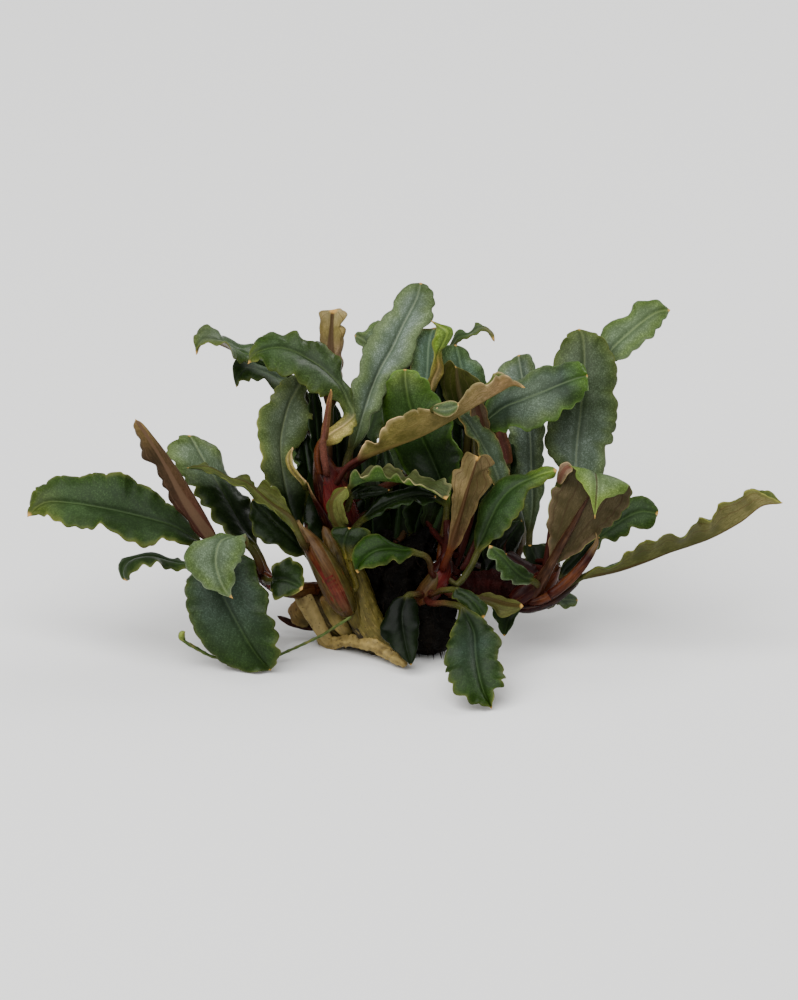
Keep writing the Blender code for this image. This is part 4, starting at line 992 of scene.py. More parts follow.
LOBE_DRIFT = 0.0060
LOBE_VIGOUR = 0.0045
BROAD_RUFFLE = 0.0070
LOBED_WIDTH = 0.002
INNER_VEIN = 0.46
OUTER_VEIN = 0.80
BLADE_CLOUDS = 330
BLADE_GRAIN = 3600
BLADE_DUST = 6400
BLADE_RELIEF = 0.00009
UPPER_GLOSS = 0.09
UNDER_GLOSS = 0.06
BLADE_SHADE = (0.52, 0.56, 0.46, 1.0)
SILVERED = (2.3, 2.2, 2.5, 1.0)
GREENED = (0.92, 0.98, 0.45, 1.0)
UNDER_PALED = (1.45, 1.45, 1.7, 1.0)
LIP_PALED_AND_LIT = (2.7, 2.3, 2.4, 1.0)
STALK_CLASP = 0.0026
STALK_RUN = 16

NIGHT_GREEN = (0.004, 0.008, 0.002)
DEEP_GREEN = (0.009, 0.018, 0.005)
DARK_GREEN = (0.018, 0.036, 0.011)
GREEN = (0.030, 0.057, 0.017)
BLUE_GREEN = (0.029, 0.046, 0.029)
PALE_GREEN = (0.088, 0.122, 0.065)
OLIVE_GREEN = (0.060, 0.077, 0.016)
YOLK_GREEN = (0.105, 0.120, 0.025)
DULL_TAN = (0.120, 0.088, 0.026)
BROWN = (0.056, 0.045, 0.018)
GOLD = (0.450, 0.260, 0.070)
UPPER_RIB = (1.5, 1.4, 1.2)
UNDER_RIB = (0.62, 0.40, 0.40)
STALK_RED = (0.050, 0.011, 0.008)
STALK_OLIVE = (0.042, 0.044, 0.010)


def blade_skin(name, side):
    """The finish of a blade's upper side or underside. Its marks are the millimetres from the rib, the
    margin and the tip; its spots are how far across, how far along, and how wet the leaf is."""
    material, tree, shader = new_skin(name)
    place = place_of(tree)
    marks = grow(tree, "ShaderNodeSeparateXYZ", None, {0: mark(tree, "marks")}).outputs
    spots = grow(tree, "ShaderNodeSeparateXYZ", None, {0: mark(tree, "spots")}).outputs
    clouds = mottle(tree, place, BLADE_CLOUDS, 3.0)
    grain = mottle(tree, place, BLADE_GRAIN)
    dust = mottle(tree, place, BLADE_DUST, 1.0)
    vein_tone = mark(tree, "vein", "Color")
    colour = mark(tree, "tone", "Color")
    shaded = tint(tree, 1.0, colour, BLADE_SHADE, "MULTIPLY")
    clouded = tint(tree, ease(tree, clouds, 0.35, 0.60, 0.75, 0.0), colour, shaded)
    if side == "upper":
        veins = reckon(tree, "SUBTRACT", spots[1], reckon(tree, "MULTIPLY", marks[0], 1.1))
        ribs = reckon(tree, "SINE", reckon(tree, "MULTIPLY", veins, 4.2))
        furrow = ease(tree, ribs, 0.55, 1.0, 0.0, 0.28)
        veined = tint(tree, furrow, clouded, shaded)
        silver = tint(tree, 1.0, veined, SILVERED, "MULTIPLY")
        speckled = tint(tree, ease(tree, grain, 0.52, 0.68, 0.0, 0.50), veined, silver)
        speckled = tint(tree, ease(tree, dust, 0.54, 0.68, 0.0, 0.45), speckled, silver)
        speckled = tint(tree, ease(tree, dust, 0.46, 0.34, 0.0, 0.45), speckled, shaded)
        # Painted shade: a band on each side of the rib, where the rib lies in its groove, is painted
        # darker.
        past_rib = ease(tree, marks[0], 0.15, 0.35)
        beside = reckon(tree, "MULTIPLY", past_rib, ease(tree, marks[0], 0.95, 0.40))
        rib_groove_shaded = tint(tree, reckon(tree, "MULTIPLY", beside, 0.65), speckled, shaded)
        greener = tint(tree, 1.0, rib_groove_shaded, GREENED, "MULTIPLY")
        rib_groove_shaded = tint(tree, ease(tree, marks[1], 2.8, 0.6, 0.0, 0.8), rib_groove_shaded, greener)
        ribbed = tint(tree, ease(tree, marks[0], 0.22, 0.06, 0.0, 0.75), rib_groove_shaded, vein_tone)
        sunk = reckon(tree, "MULTIPLY", ribs, -0.18)
        relief_height = reckon(tree, "ADD", reckon(tree, "MULTIPLY", grain, 0.6), sunk)
    else:
        part = reckon(tree, "ABSOLUTE", spots[0])
        inner = reckon(tree, "ABSOLUTE", reckon(tree, "SUBTRACT", part, INNER_VEIN))
        outer = reckon(tree, "ABSOLUTE", reckon(tree, "SUBTRACT", part, OUTER_VEIN))
        nearest = reckon(tree, "MINIMUM", inner, outer)
        wavering = reckon(tree, "ADD", nearest, ease(tree, grain, 0.2, 0.8, -0.012, 0.012))
        stripes = mottle(tree, drawn_out(tree, 6.5, 0.9), 1.0)
        paler = tint(tree, 1.0, clouded, UNDER_PALED, "MULTIPLY")
        striped = tint(tree, ease(tree, stripes, 0.50, 0.66, 0.0, 0.55), clouded, paler)
        striped = tint(tree, ease(tree, stripes, 0.48, 0.36, 0.0, 0.4), striped, shaded)
        pitted = tint(tree, ease(tree, grain, 0.53, 0.66, 0.0, 0.50), striped, shaded)
        pitted = tint(tree, ease(tree, dust, 0.58, 0.68, 0.0, 0.45), pitted, shaded)
        lined = tint(tree, ease(tree, wavering, 0.028, 0.008, 0.0, 0.60), pitted, vein_tone)
        breadth = ease(tree, spots[1], 16.0, 2.0, 0.14, 0.42)
        nearness = reckon(tree, "DIVIDE", marks[0], breadth)
        ribbed = tint(tree, ease(tree, nearness, 1.25, 0.7, 0.0, 0.9), lined, vein_tone)
        raised = reckon(tree, "MULTIPLY", ease(tree, wavering, 0.04, 0.0), 0.5)
        relief_height = reckon(tree, "ADD", grain, raised)
    wander = ease(tree, clouds, 0.3, 0.7, -0.22, 0.28)
    from_margin = reckon(tree, "SUBTRACT", marks[1], wander)
    rim = mark(tree, "rim", "Color")
    edged = tint(tree, ease(tree, from_margin, 0.80, 0.0, 0.0, 0.50), ribbed, rim)
    # A thin pale lip at the very margin, in patches: partly the margin's own pale line and partly a
    # painted highlight on its crests.
    here_and_there = ease(tree, clouds, 0.42, 0.60, 0.0, 0.6)
    lip_and_highlight = reckon(tree, "MULTIPLY", ease(tree, marks[1], 0.20, 0.05), here_and_there)
    with_lip_and_highlight = tint(tree, lip_and_highlight, edged, tint(tree, 1.0, rim, LIP_PALED_AND_LIT, "MULTIPLY"))
    tipped = tint(tree, ease(tree, marks[2], 1.0, 0.4), with_lip_and_highlight, (*GOLD, 1.0))
    tree.links.new(tipped, shader.inputs["Base Color"])
    roughness = reckon(tree, "ADD", spots[2], ease(tree, clouds, 0.3, 0.7, -0.05, 0.10))
    tree.links.new(roughness, shader.inputs["Roughness"])
    tree.links.new(relief(tree, relief_height, 0.35, BLADE_RELIEF), shader.inputs["Normal"])
    shader.inputs["Specular IOR Level"].default_value = UPPER_GLOSS if side == "upper" else UNDER_GLOSS
    return material


def evened(vectors, size):
    """A run of vectors, each averaged with its neighbours."""
    kernel = np.hanning(size) / np.hanning(size).sum()
    padded = np.pad(vectors, ((size // 2, size // 2), (0, 0)), mode="edge")
    return np.stack([np.convolve(padded[:, axis], kernel, "valid") for axis in range(3)], axis=1)


def scalloped(edge, rib, seed, frill):
    """A margin pushed out in small rounded lobes, and how far it swings up and down as it is crisped.
    Both fade toward the stalk and the tip."""
    outward = unit(edge - rib)
    steps = np.linalg.norm(np.diff(edge, axis=0), axis=1)
    walked = np.concatenate([[0.0], np.cumsum(steps)])

    def along_margin(size, shift, lane):
        """Smooth noise along the margin, its bumps of a size."""
        return np.array([noise.noise(Vector((way / size, seed * shift, lane))) for way in walked])

    drift = along_margin(LOBE_DRIFT, 3.3, 5.1)
    broad = along_margin(BROAD_RUFFLE, 5.9, 9.2)
    count = walked / SCALLOP_LENGTH + 0.7 * drift + seed * 0.37
    lobe = np.abs(np.sin(math.pi * count)) ** 0.8
    vigour = np.clip(1.0 + 0.9 * along_margin(LOBE_VIGOUR, 7.7, 0.3), 0.5, 1.8)
    share = np.linspace(0, 1, len(rib))
    fade = frill * np.clip((share - 0.05) / 0.15, 0, 1) * np.clip((1 - share) / 0.05, 0, 1)
    room = np.clip(np.linalg.norm(edge - rib, axis=1) / LOBED_WIDTH, 0, 1)
    pushed = edge + outward * (fade * room * vigour * SCALLOP_DEPTH * (lobe - 0.55))[:, None]
    waves = 0.5 * np.cos(2 * math.pi * count) + 0.6 * np.cos(math.pi * count)
    swing = fade * room * (vigour * RUFFLE_HEIGHT * waves + BROAD_RUFFLE_HEIGHT * broad)
    return pushed, swing


upper_finish = blade_skin("speckled upper side", "upper")
under_finish = blade_skin("dull underside", "under")
leaf_count = 0


def blade_halves(rib_line, margins, along, out, arch, frills):
    """The middle surface of a blade, the way that its upper side faces, and how far each point lies
    from the rib and from the margin. Each half bows between the rib and its scalloped margin."""
    surface = np.empty((len(rib_line), len(ACROSS), 3))
    facing = np.empty(surface.shape)
    from_rib = np.empty(surface.shape[:2])
    from_margin = np.empty(surface.shape[:2])
    for half, (edge, chosen) in enumerate(zip(margins, (ACROSS <= 0, ACROSS >= 0))):
        edge, swing = scalloped(edge, rib_line, leaf_count * 2 + half + 1, frills[half])
        reach = np.linalg.norm(edge - rib_line, axis=1)
        lanes = np.abs(ACROSS)[chosen]
        flat = rib_line[:, None, :] + (edge - rib_line)[:, None, :] * lanes[None, :, None]
        half_out = unit(np.cross(edge - rib_line, along))
        half_out *= np.sign((half_out * out).sum(axis=1, keepdims=True))
        half_out[-3:] = out[-3:]
        half_out = unit(evened(half_out, 11))
        turn = np.clip(lanes / 0.2, 0, 1)[None, :, None]
        half_facing = unit(out[:, None, :] * (1 - turn) + half_out[:, None, :] * turn)
        facing[:, chosen] = half_facing
        bow = arch * reach[:, None] * 4 * lanes * (1 - lanes) + swing[:, None] * lanes**3
        surface[:, chosen] = flat + half_facing * bow[..., None]
        from_rib[:, chosen] = reach[:, None] * lanes
        from_margin[:, chosen] = reach[:, None] * (1 - lanes)
    return surface, facing, from_rib, from_margin


def blade_rings(surface, facing, from_rib, share, rib_size):
    """The rings round a blade, with a furrow along the rib above, the rib's bulge underneath and a
    margin that thins out. The blade starts as thick and round as its stalk."""
    part = np.abs(ACROSS)[None, :]
    left = 1 - share[:, None]
    grown = np.clip(share / BLADE_START, 0, 1)
    grown = (grown * grown * (3 - 2 * grown))[:, None]
    round_half = STALK_THICKNESS / 2 * np.sqrt(1 - part**2)
    rib_height = rib_size * RIB_HEIGHT * left**1.2 + RIB_TIP_HEIGHT
    rib_width = RIB_TIP_WIDTH + rib_size * RIB_WIDTH * left
    bulge = rib_height * np.exp(-((from_rib / rib_width) ** 2))
    groove = GROOVE_DEPTH * np.exp(-((from_rib / GROOVE_WIDTH) ** 2)) * (1 - part**4)
    taper = np.sqrt(np.clip(1 - part**RIM_TAPER, 0, 1)) * np.clip(left / TIP_TAPER, 0.25, 1)
    above = round_half * (1 - grown) + grown * np.clip(BLADE_HALF * taper - groove, THINNEST_BLADE, 1)
    below = round_half * (1 - grown) + grown * (BLADE_HALF * taper + bulge * (1 - part**4))
    above[:, [0, -1]] = 0
    below[:, [0, -1]] = 0
    upper_face = surface + facing * above[..., None]
    under_face = surface - facing * below[..., None]
    return np.concatenate([upper_face, under_face[:, -2:0:-1]], axis=1)[:-1]


def leaf_stalk(points, rib_points, side, up):
    """The oval rings of a leaf's stalk, from inside its crown, where it is thickest, to the blade."""
    rows = max(FEWEST_STALK_ROWS, int(np.linalg.norm(rib_points[0] - points[0]) / STALK_ROW_SPACING))
    spine = smooth_line([*points, rib_points[0], rib_points[1]], 6 * rows)
    nearest = int(np.argmin(np.linalg.norm(spine - rib_points[0], axis=1)))
    line = smooth_line(spine[: max(nearest, 3)], rows + 1)[:-1]
    along = unit(np.gradient(line, axis=0))
    flat_side = unit(side[None, :] - along * (along @ side)[:, None])
    square = unit(np.cross(flat_side, along))
    if np.dot(square[-1], up) < 0:
        square = -square
    high = np.where(IS_UNDER, -1.0, 1.0) * np.sqrt(1 - LANES_ROUND**2)
    from_root = np.linspace(0, np.linalg.norm(np.diff(line, axis=0), axis=1).sum(), len(line))
    swell = (1 + 0.6 * np.exp(-((from_root / STALK_CLASP) ** 2)))[:, None, None]
    rings = (
        line[:, None, :]
        + flat_side[:, None, :] * (LANES_ROUND * STALK_WIDTH / 2)[None, :, None] * swell
        + square[:, None, :] * (high * STALK_THICKNESS / 2)[None, :, None] * swell
    )
    return uneven(rings, *STALK_LUMPS, leaf_count)


def leaf_tones(upper, under, rims, rib_tone, stalk_tone, half_shades, share, stalk_rows):
    """The colours of a leaf's rings: its own, those of its rim and those of its rib. The blade takes
    its colours on from the stalk's, and its two halves can carry painted light and shade, one painted
    lighter and the other darker."""
    is_under = IS_UNDER[None, :, None]
    # Painted light and shade: each half of the blade is painted lighter or darker by its own factor.
    side_shade = np.where(LANES_ROUND < 0, half_shades[0], half_shades[1])
    side_shade = 1 + (side_shade - 1) * np.clip(np.abs(LANES_ROUND) / RIB_SOFTNESS, 0, 1)
    upper_line = spread_colours(upper, share)[:, None, :] * side_shade[None, :, None]
    under_line = spread_colours(under, share)[:, None, :] * side_shade[None, :, None]
    own = np.where(is_under, under_line, upper_line)
    rim = np.where(is_under, np.array(rims[1]), np.array(rims[0])) + 0 * own
    paler = np.where(is_under, np.array(UNDER_RIB), np.array(UPPER_RIB))
    rib = np.array(rib_tone) + 0 * own if rib_tone else own * paler
    fresh = np.clip(share / STALK_BLEND, 0, 1)[:, None, None]
    stalk_line = spread_colours(stalk_tone, np.linspace(0, 1, stalk_rows))[:, None, :]
    stalk_line = np.broadcast_to(stalk_line, (stalk_rows, *own.shape[1:]))
    last_stalk = np.array(stalk_tone[-1])
    blades = [last_stalk * (1 - fresh) + blade * fresh for blade in (own, rim, rib)]
    return [np.concatenate([stalk_line, blade]) for blade in blades]


def leaf(name, slot, stalk, rib, edge_a, edge_b, upper, under=(DULL_TAN, BROWN), shows="upper",
         rim=OLIVE_GREEN, rib_tone=None, stalk_tone=(DEEP_RED, STALK_RED, STALK_OLIVE), wet=0.42,
         frill=1.0, arch=0.10, gold=0.35, half_shades=(1.0, 1.0), rib_size=1.0, under_rim=None,
         modelled=True):
    """One leaf. Its outline is what the picture shows: the stalk from the crown, the rib, and the two
    margins from the stalk's end to the tip. shows names the side that faces the camera."""
    global leaf_count
    leaf_count += 1
    stalk_points = [seen(place) for place in stalk]
    rib_points = [seen(place) for place in rib]
    a_points = [seen(place) for place in edge_a]
    b_points = [seen(place) for place in edge_b]
    start_along = unit(rib_points[1] - rib_points[0])
    start_across = b_points[0] - a_points[0]
    start_across = unit(start_across - start_along * np.dot(start_across, start_along))
    a_points = [rib_points[0] - start_across * STALK_WIDTH / 2, *a_points, rib_points[-1]]
    b_points = [rib_points[0] + start_across * STALK_WIDTH / 2, *b_points, rib_points[-1]]
    crown_points = np.concatenate(crown_lines)
    at = np.argmin(np.linalg.norm(crown_points - stalk_points[0], axis=1))
    deeper = max(at - STALK_RUN, at // CROWN_POINTS * CROWN_POINTS)
    beside = crown_points[at] + 0.3 * unit(stalk_points[0] - crown_points[at]) * STALK_CLASP

    blade_length = np.linalg.norm(np.diff(np.array(rib_points), axis=0), axis=1).sum()
    rows = int(np.clip(blade_length / ROW_SPACING, FEWEST_ROWS, MOST_ROWS))
    rib_line = smooth_line(rib_points, rows)
    a_line = smooth_line(a_points, rows)
    b_line = smooth_line(b_points, rows)
    along = unit(np.gradient(rib_line, axis=0))
    out = unit(np.cross(b_line - a_line, along))
    out[-1] = out[-2]
    out = unit(evened(out, 9))
    width = np.linalg.norm(b_line - a_line, axis=1)
    if ((out @ toward_camera) * width).sum() < 0:
        out = -out
    if shows == "under":
        out = -out

    share = np.linspace(0, 1, rows)
    frills = frill if isinstance(frill, tuple) else (frill, frill)
    margins = (a_line, b_line)
    surface, facing, from_rib, from_margin = blade_halves(rib_line, margins, along, out, arch, frills)
    blade = blade_rings(surface, facing, from_rib, share, rib_size)
    stalk_line = [crown_points[deeper], beside, *stalk_points]
    stalk_rings = leaf_stalk(stalk_line, rib_points, unit(b_line[1] - a_line[1]), out[0])
    tip_ring = rib_line[-1] + (blade[-1] - blade[-1].mean(axis=0)) * TIP_SIZE
    rings = np.concatenate([stalk_rings, blade, tip_ring[None]])
    stalk_rows = len(stalk_rings)
    rims = (rim, under_rim or rim)
    tones = leaf_tones(upper, under, rims, rib_tone, stalk_tone, half_shades, share, stalk_rows)

    def all_round(grid, stalk_value):
        """A value over the blade's grid, for both its sides and the stalk, in ring order."""
        round_grid = np.concatenate([grid, grid[:, -2:0:-1]], axis=1)[:-1]
        ends = np.full((stalk_rows, round_grid.shape[1]), stalk_value)
        return np.concatenate([ends, round_grid, round_grid[-1:]])

    rim_scale = np.clip(width.max() / FULL_RIM_WIDTH, 0.35, 1.0)
    to_tip = np.linalg.norm(surface - rib_line[-1], axis=2)
    marks = np.stack(
        [
            all_round(from_rib / MILLIMETRE / rib_size, FAR_OFF),
            all_round(from_margin / MILLIMETRE / rim_scale, FAR_OFF),
            all_round(to_tip / MILLIMETRE / gold, FAR_FROM_TIP),
        ],
        axis=-1,
    )
    walked = np.concatenate([[0.0], np.cumsum(np.linalg.norm(np.diff(rib_line, axis=0), axis=1))])
    walked_grid = np.broadcast_to(walked[:, None] / MILLIMETRE, from_rib.shape)
    across_grid = np.broadcast_to(ACROSS[None, :], from_rib.shape)
    wet_grid = np.full(rings.shape[:2], wet)
    spots = np.stack([all_round(across_grid, 0.2), all_round(walked_grid, 0.0), wet_grid], axis=-1)
    pick = np.zeros((len(rings) - 1, rings.shape[1]), int)
    pick[:, len(ACROSS) - 1:] = 1
    grain = np.stack([marks[..., 0] * MILLIMETRE, spots[..., 1] * MILLIMETRE], axis=-1)
    shape = {"rings": rings, "marks": marks, "spots": spots, "grain": grain, "pick": pick}
    shape.update(zip(COLOUR_LAYERS, tones))
    nodes = ["leaf_" + name] if modelled else []
    plant_piece(name + "_leaf", [shape], [upper_finish, under_finish], slot, *nodes)


leaf(
    "far_left", "leaf_green",
    stalk=[(255, 571, -1.5), (230, 558, -1.5)],
    rib=[(200, 545, -1.5), (178, 529, -1), (153, 520, -0.5), (115, 511, 0.5), (76, 504, 1.5),
        (45, 503, 2), (27, 517, 1.5)],
    edge_a=[(190, 520, 1), (161, 498, 2), (138, 484, 2.5), (115, 476, 3), (85, 475, 4), (54, 476, 4),
        (38, 485, 4), (28, 502, 3)],
    edge_b=[(182, 545, -3.5), (164, 540, -4), (145, 546, -4.5), (119, 535, -4.5), (103, 527, -4),
        (92, 530, -3.5), (69, 526, -2.5), (57, 519, -1.5), (40, 514, 0.5)],
    upper=(DEEP_GREEN, DARK_GREEN, DARK_GREEN, GREEN, OLIVE_GREEN), rim=YOLK_GREEN, frill=(1.7, 0.8),
        gold=1.0,
)
# rolled_left: its rib is painted a little lighter as the highlight along the rolled tube, and its half
# toward edge_a darker as painted shade.
leaf(
    "rolled_left", "leaf_brown",
    stalk=[(257, 566, -3.6), (235, 553, -4.2)],
    rib=[(214, 541, -5.2), (200, 522, -5.8), (183, 497, -6), (166, 466, -6.2), (150, 440, -6.5),
        (136, 419, -6.5)],
    edge_a=[(197, 534, -4.6), (185, 514, -4.4), (176, 506, -4.4), (166, 486, -4.4), (157, 466, -4.6),
        (144, 456, -4.8), (141, 441, -5.2), (135, 427, -5.6)],
    edge_b=[(215, 533, -4.6), (200, 506, -4.2), (184, 480, -4.2), (167, 456, -4.6), (153, 438, -5.2),
        (142, 424, -5.8)],
    upper=(GREEN, OLIVE_GREEN), under=(STALK_RED, (0.060, 0.024, 0.014), (0.062, 0.034, 0.016),
        (0.066, 0.040, 0.018), (0.230, 0.150, 0.055)), shows="under", rim=(0.200, 0.122, 0.036),
        rib_tone=(0.082, 0.048, 0.027), arch=-0.3, frill=(0.8, 0.0), half_shades=(0.65, 1.0),
)
# left_back: painted near black toward its stalk as shade, and pale grey-green over its tip half as a
# painted reflection on its wet surface.
leaf(
    "left_back", "leaf_dark",
    stalk=[(266, 570, 0.3), (260, 556, 1)],
    rib=[(254, 545, 2), (238, 520, 3), (220, 488, 4), (203, 460, 5), (189, 435, 5.5)],
    edge_a=[(238, 543, 1), (218, 524, 1), (202, 502, 1.5), (185, 478, 2.5), (170, 458, 3.5),
        (166, 449, 4.5), (175, 440, 5), (182, 435, 5.5)],
    edge_b=[(256, 530, 4), (249, 510, 6), (240, 490, 7), (229, 472, 8), (221, 456, 8), (210, 444, 7.5),
        (198, 436, 6.5)],
    upper=(NIGHT_GREEN, NIGHT_GREEN, DEEP_GREEN, (0.100, 0.136, 0.080), (0.100, 0.136, 0.080)),
        wet=0.32, frill=1.3,
)
leaf(
    "left_big", "leaf_green",
    stalk=[(253, 577, -5.6), (252, 566, -5.8)],
    rib=[(246, 558, -6), (230, 562, -7), (219, 578, -8), (223, 594, -8.5), (236, 619, -8.5),
        (248, 640, -8.2), (258, 655, -7.8), (271, 670, -7.5)],
    edge_a=[(225, 553, -5.5), (200, 560, -5.5), (189, 573, -6), (185, 586, -7), (187, 605, -7.5),
        (196, 632, -7.5), (212, 653, -7), (227, 664, -7), (242, 670, -7.3), (256, 671, -7.5)],
    edge_b=[(256, 562, -7), (259, 580, -8.5), (270, 596, -9), (267, 607, -9.5), (274, 622, -9.5),
        (277, 634, -9.5), (279, 657, -9)],
    upper=(DARK_GREEN, BLUE_GREEN, BLUE_GREEN, DARK_GREEN, DARK_GREEN), wet=0.36, frill=1.1,
)
leaf(
    "left_pale", "leaf_green",
    stalk=[(262, 570, -6.6), (256, 555, -8.5)],
    rib=[(248, 545, -10), (236, 538, -11), (222, 541, -12), (217, 555, -13), (218, 570, -13.5),
        (225, 588, -14), (234, 598, -14)],
    edge_a=[(228, 535, -10.5), (212, 536, -10.5), (200, 540, -11), (192, 546, -11.5), (185, 556, -12),
        (187, 567, -12.5), (196, 577, -13), (206, 586, -13.5), (218, 592, -14)],
    edge_b=[(246, 533, -10.5), (246, 545, -11.5), (242, 560, -12.5), (237, 564, -13), (235, 580, -13.8),
        (232, 592, -14)],
    upper=((0.060, 0.088, 0.048), (0.074, 0.106, 0.058), (0.080, 0.112, 0.060)), rim=PALE_GREEN,
        wet=0.32, frill=1.2, gold=0.8,
)
leaf(
    "left_thin", "leaf_dark",
    stalk=[(254, 580, -2.6), (222, 574, -3.4)],
    rib=[(190, 566, -4.5), (170, 562, -4.5), (150, 557, -5), (130, 562, -5.5), (124, 572, -6),
        (128, 581, -6)],
    edge_a=[(185, 563, -2.5), (170, 560, -1), (157, 554, -0.5), (143, 554, -1), (124, 559, -2.5),
        (118, 566, -4), (124, 578, -5.5)],
    edge_b=[(184, 569, -6.5), (159, 567, -8.5), (142, 564, -9), (134, 570, -8.5), (130, 578, -7.5)],
    upper=(DARK_GREEN, DEEP_GREEN, DARK_GREEN), frill=1.4, gold=0.8,
)
leaf(
    "small_ruffled", "leaf_dark",
    stalk=[(268, 581, -6.2)],
    rib=[(273, 581, -7), (285, 580, -8), (296, 584, -8.5), (303, 589, -9)],
    edge_a=[(274, 568, -6.5), (284, 560, -7), (294, 559, -7.5), (303, 570, -8), (304, 582, -8.5)],
    edge_b=[(271, 590, -8), (276, 599, -9), (285, 598, -9), (294, 593, -9)],
    upper=(NIGHT_GREEN, DEEP_GREEN, DARK_GREEN), rim=YOLK_GREEN, wet=0.24, frill=1.5, gold=0.6,
)


# Leaves of the pink crown
# Three leaves: one upright with a curled tan rim, one rolled so that only its olive edge shows, and
# one dark leaf between them.
leaf(
    "left_upright", "leaf_green",
    stalk=[(309, 553, -2)],
    rib=[(301, 540, -1.2), (293, 516, -0.5), (288, 501, 0), (282, 471, 1), (280, 450, 1.5),
        (281, 433, 2), (288, 405, 3), (300, 383, 4.5), (298, 374, 6)],
    edge_a=[(290, 520, -0.8), (280, 500, -0.6), (267, 479, -1.2), (263, 461, -2), (262, 448, -2),
        (257, 429, -1.5), (258, 415, -1), (263, 405, -0.5), (272, 396, 1), (276, 388, 3),
        (284, 378, 5)],
    edge_b=[(304, 520, 1), (308, 500, 2), (307, 484, 2.5), (298, 478, 2), (291, 466, 1.5),
        (292, 452, 2), (300, 445, 3), (309, 430, 4), (311, 413, 4.5), (306, 397, 5), (308, 384, 5.5)],
    upper=(NIGHT_GREEN, NIGHT_GREEN, (0.082, 0.108, 0.060), (0.088, 0.116, 0.070),
        (0.078, 0.104, 0.056)), rim=YOLK_GREEN, wet=0.38, frill=0.75,
)
leaf(
    "olive_edge", "leaf_brown",
    stalk=[(305, 547, -5.6)],
    rib=[(297, 531, -4.8), (291, 518, -4.4), (272, 505, -3.5), (257, 492, -3), (245, 483, -2.5),
        (228, 478, -2), (209, 468, -1.5), (187, 468, -1.5)],
    edge_a=[(285, 522, -5), (268, 510, -5), (252, 498, -5), (243, 487, -4.5), (230, 481, -4),
        (215, 474, -3), (200, 470, -2.5)],
    edge_b=[(288, 508, -3.4), (280, 492, -3.2), (264, 481, -2.8), (255, 486, -1.6), (250, 477, 0),
        (240, 473, 0.5), (232, 477, 0.8), (220, 472, 0.8), (207, 463, 0.5), (197, 465, -0.5)],
    upper=(BLUE_GREEN, BLUE_GREEN), under=((0.056, 0.064, 0.014), (0.060, 0.070, 0.016),
        (0.064, 0.080, 0.020)), shows="under", frill=1.2,
)
leaf(
    "left_dark", "leaf_dark",
    stalk=[(316, 566, -0.4)],
    rib=[(306, 553, 0.5), (290, 538, 0.8), (272, 520, 1.2), (258, 506, 1.8), (252, 499, 2)],
    edge_a=[(293, 557, -0.6), (276, 547, -0.5), (262, 541, -0.5), (254, 534, 0), (250, 519, 1),
        (250, 508, 1.5)],
    edge_b=[(304, 541, 2), (297, 530, 2.2), (286, 522, 2.5), (276, 513, 3), (270, 503, 3),
        (262, 498, 2.5)],
    upper=(NIGHT_GREEN, DEEP_GREEN, DEEP_GREEN), wet=0.32,
)


# Leaves of the dark red crown
# The highest crown carries the long arching leaf, the pale leaves at the top, and a long tan leaf that
# shows its underside. A new leaf, still rolled, stands up between them as a pink spear.
GREY_GREEN = (0.070, 0.098, 0.062)
MOSS_GREEN = (0.056, 0.076, 0.036)
SILVER_GREEN = (0.110, 0.145, 0.108)
BRIGHT_GREEN = (0.058, 0.120, 0.017)
PALE_TAN = (0.330, 0.250, 0.120)
TAN = (0.180, 0.135, 0.040)
MAUVE_BROWN = (0.120, 0.078, 0.046)
leaf(
    "arching", "leaf_green",
    stalk=[(320, 474, -2.2), (317, 458, -2)],
    rib=[(320, 444, -1.8), (332, 434, -2), (346, 424, -2), (354, 415, -1.5), (349, 404, -1),
        (339, 385, -0.5), (323, 369, 0), (308, 359, 0.5), (292, 351, 0.5), (276, 348, 0),
        (258, 353, -1), (248, 364, -2)],
    edge_a=[(330, 446, -2.5), (342, 441, -3.2), (352, 430, -3.2), (356, 420, -2), (352, 400, 0.5),
        (350, 386, 1.3), (343, 376, 1.8), (340, 362, 2), (330, 352, 2.5), (323, 345, 2.5),
        (312, 343, 2.5), (302, 338, 2.5), (296, 330, 2.5), (284, 333, 2.5), (272, 328, 2.5),
        (262, 335, 1.5), (254, 342, 0.5), (251, 352, -0.5)],
    edge_b=[(322, 438, -1), (330, 430, -0.5), (338, 420, -0.5), (343, 412, -0.8), (338, 402, -1.5),
        (332, 393, -2.5), (319, 393, -3), (307, 386, -3), (299, 379, -3), (284, 375, -3.5),
        (270, 367, -3.5), (258, 359, -3)],
    upper=(PALE_TAN, PALE_TAN, MOSS_GREEN, (0.036, 0.056, 0.022), (0.030, 0.048, 0.020),
        (0.028, 0.046, 0.018), (0.030, 0.052, 0.018), GREEN, OLIVE_GREEN),
        under=(PALE_TAN, PALE_TAN, TAN), stalk_tone=(DEEP_RED, RUST), wet=0.30, gold=0.8, frill=1.4,
)
leaf(
    "pink_spear", "crown_pink",
    stalk=[(327, 474, -3.4), (324, 456, -4)],
    rib=[(323, 440, -4.2), (327, 410, -4.4), (331, 389, -4.4)],
    edge_a=[(321, 438, -3.8), (324, 420, -3.9), (327.5, 402, -4.1), (330, 393, -4.2)],
    edge_b=[(328, 438, -3.8), (330, 420, -3.9), (331.5, 402, -4.1), (332.5, 393, -4.2)],
    upper=((0.070, 0.025, 0.018), (0.115, 0.048, 0.032), (0.120, 0.055, 0.035), (0.250, 0.150, 0.070)),
        under=((0.070, 0.025, 0.018), (0.115, 0.048, 0.032), (0.120, 0.055, 0.035),
        (0.250, 0.150, 0.070)), rim=(0.2, 0.1, 0.05), rib_tone=(0.07, 0.02, 0.014), frill=0.4, gold=0.4,
        stalk_tone=(DEEP_RED, DEEP_RED, (0.10, 0.035, 0.022)),
)
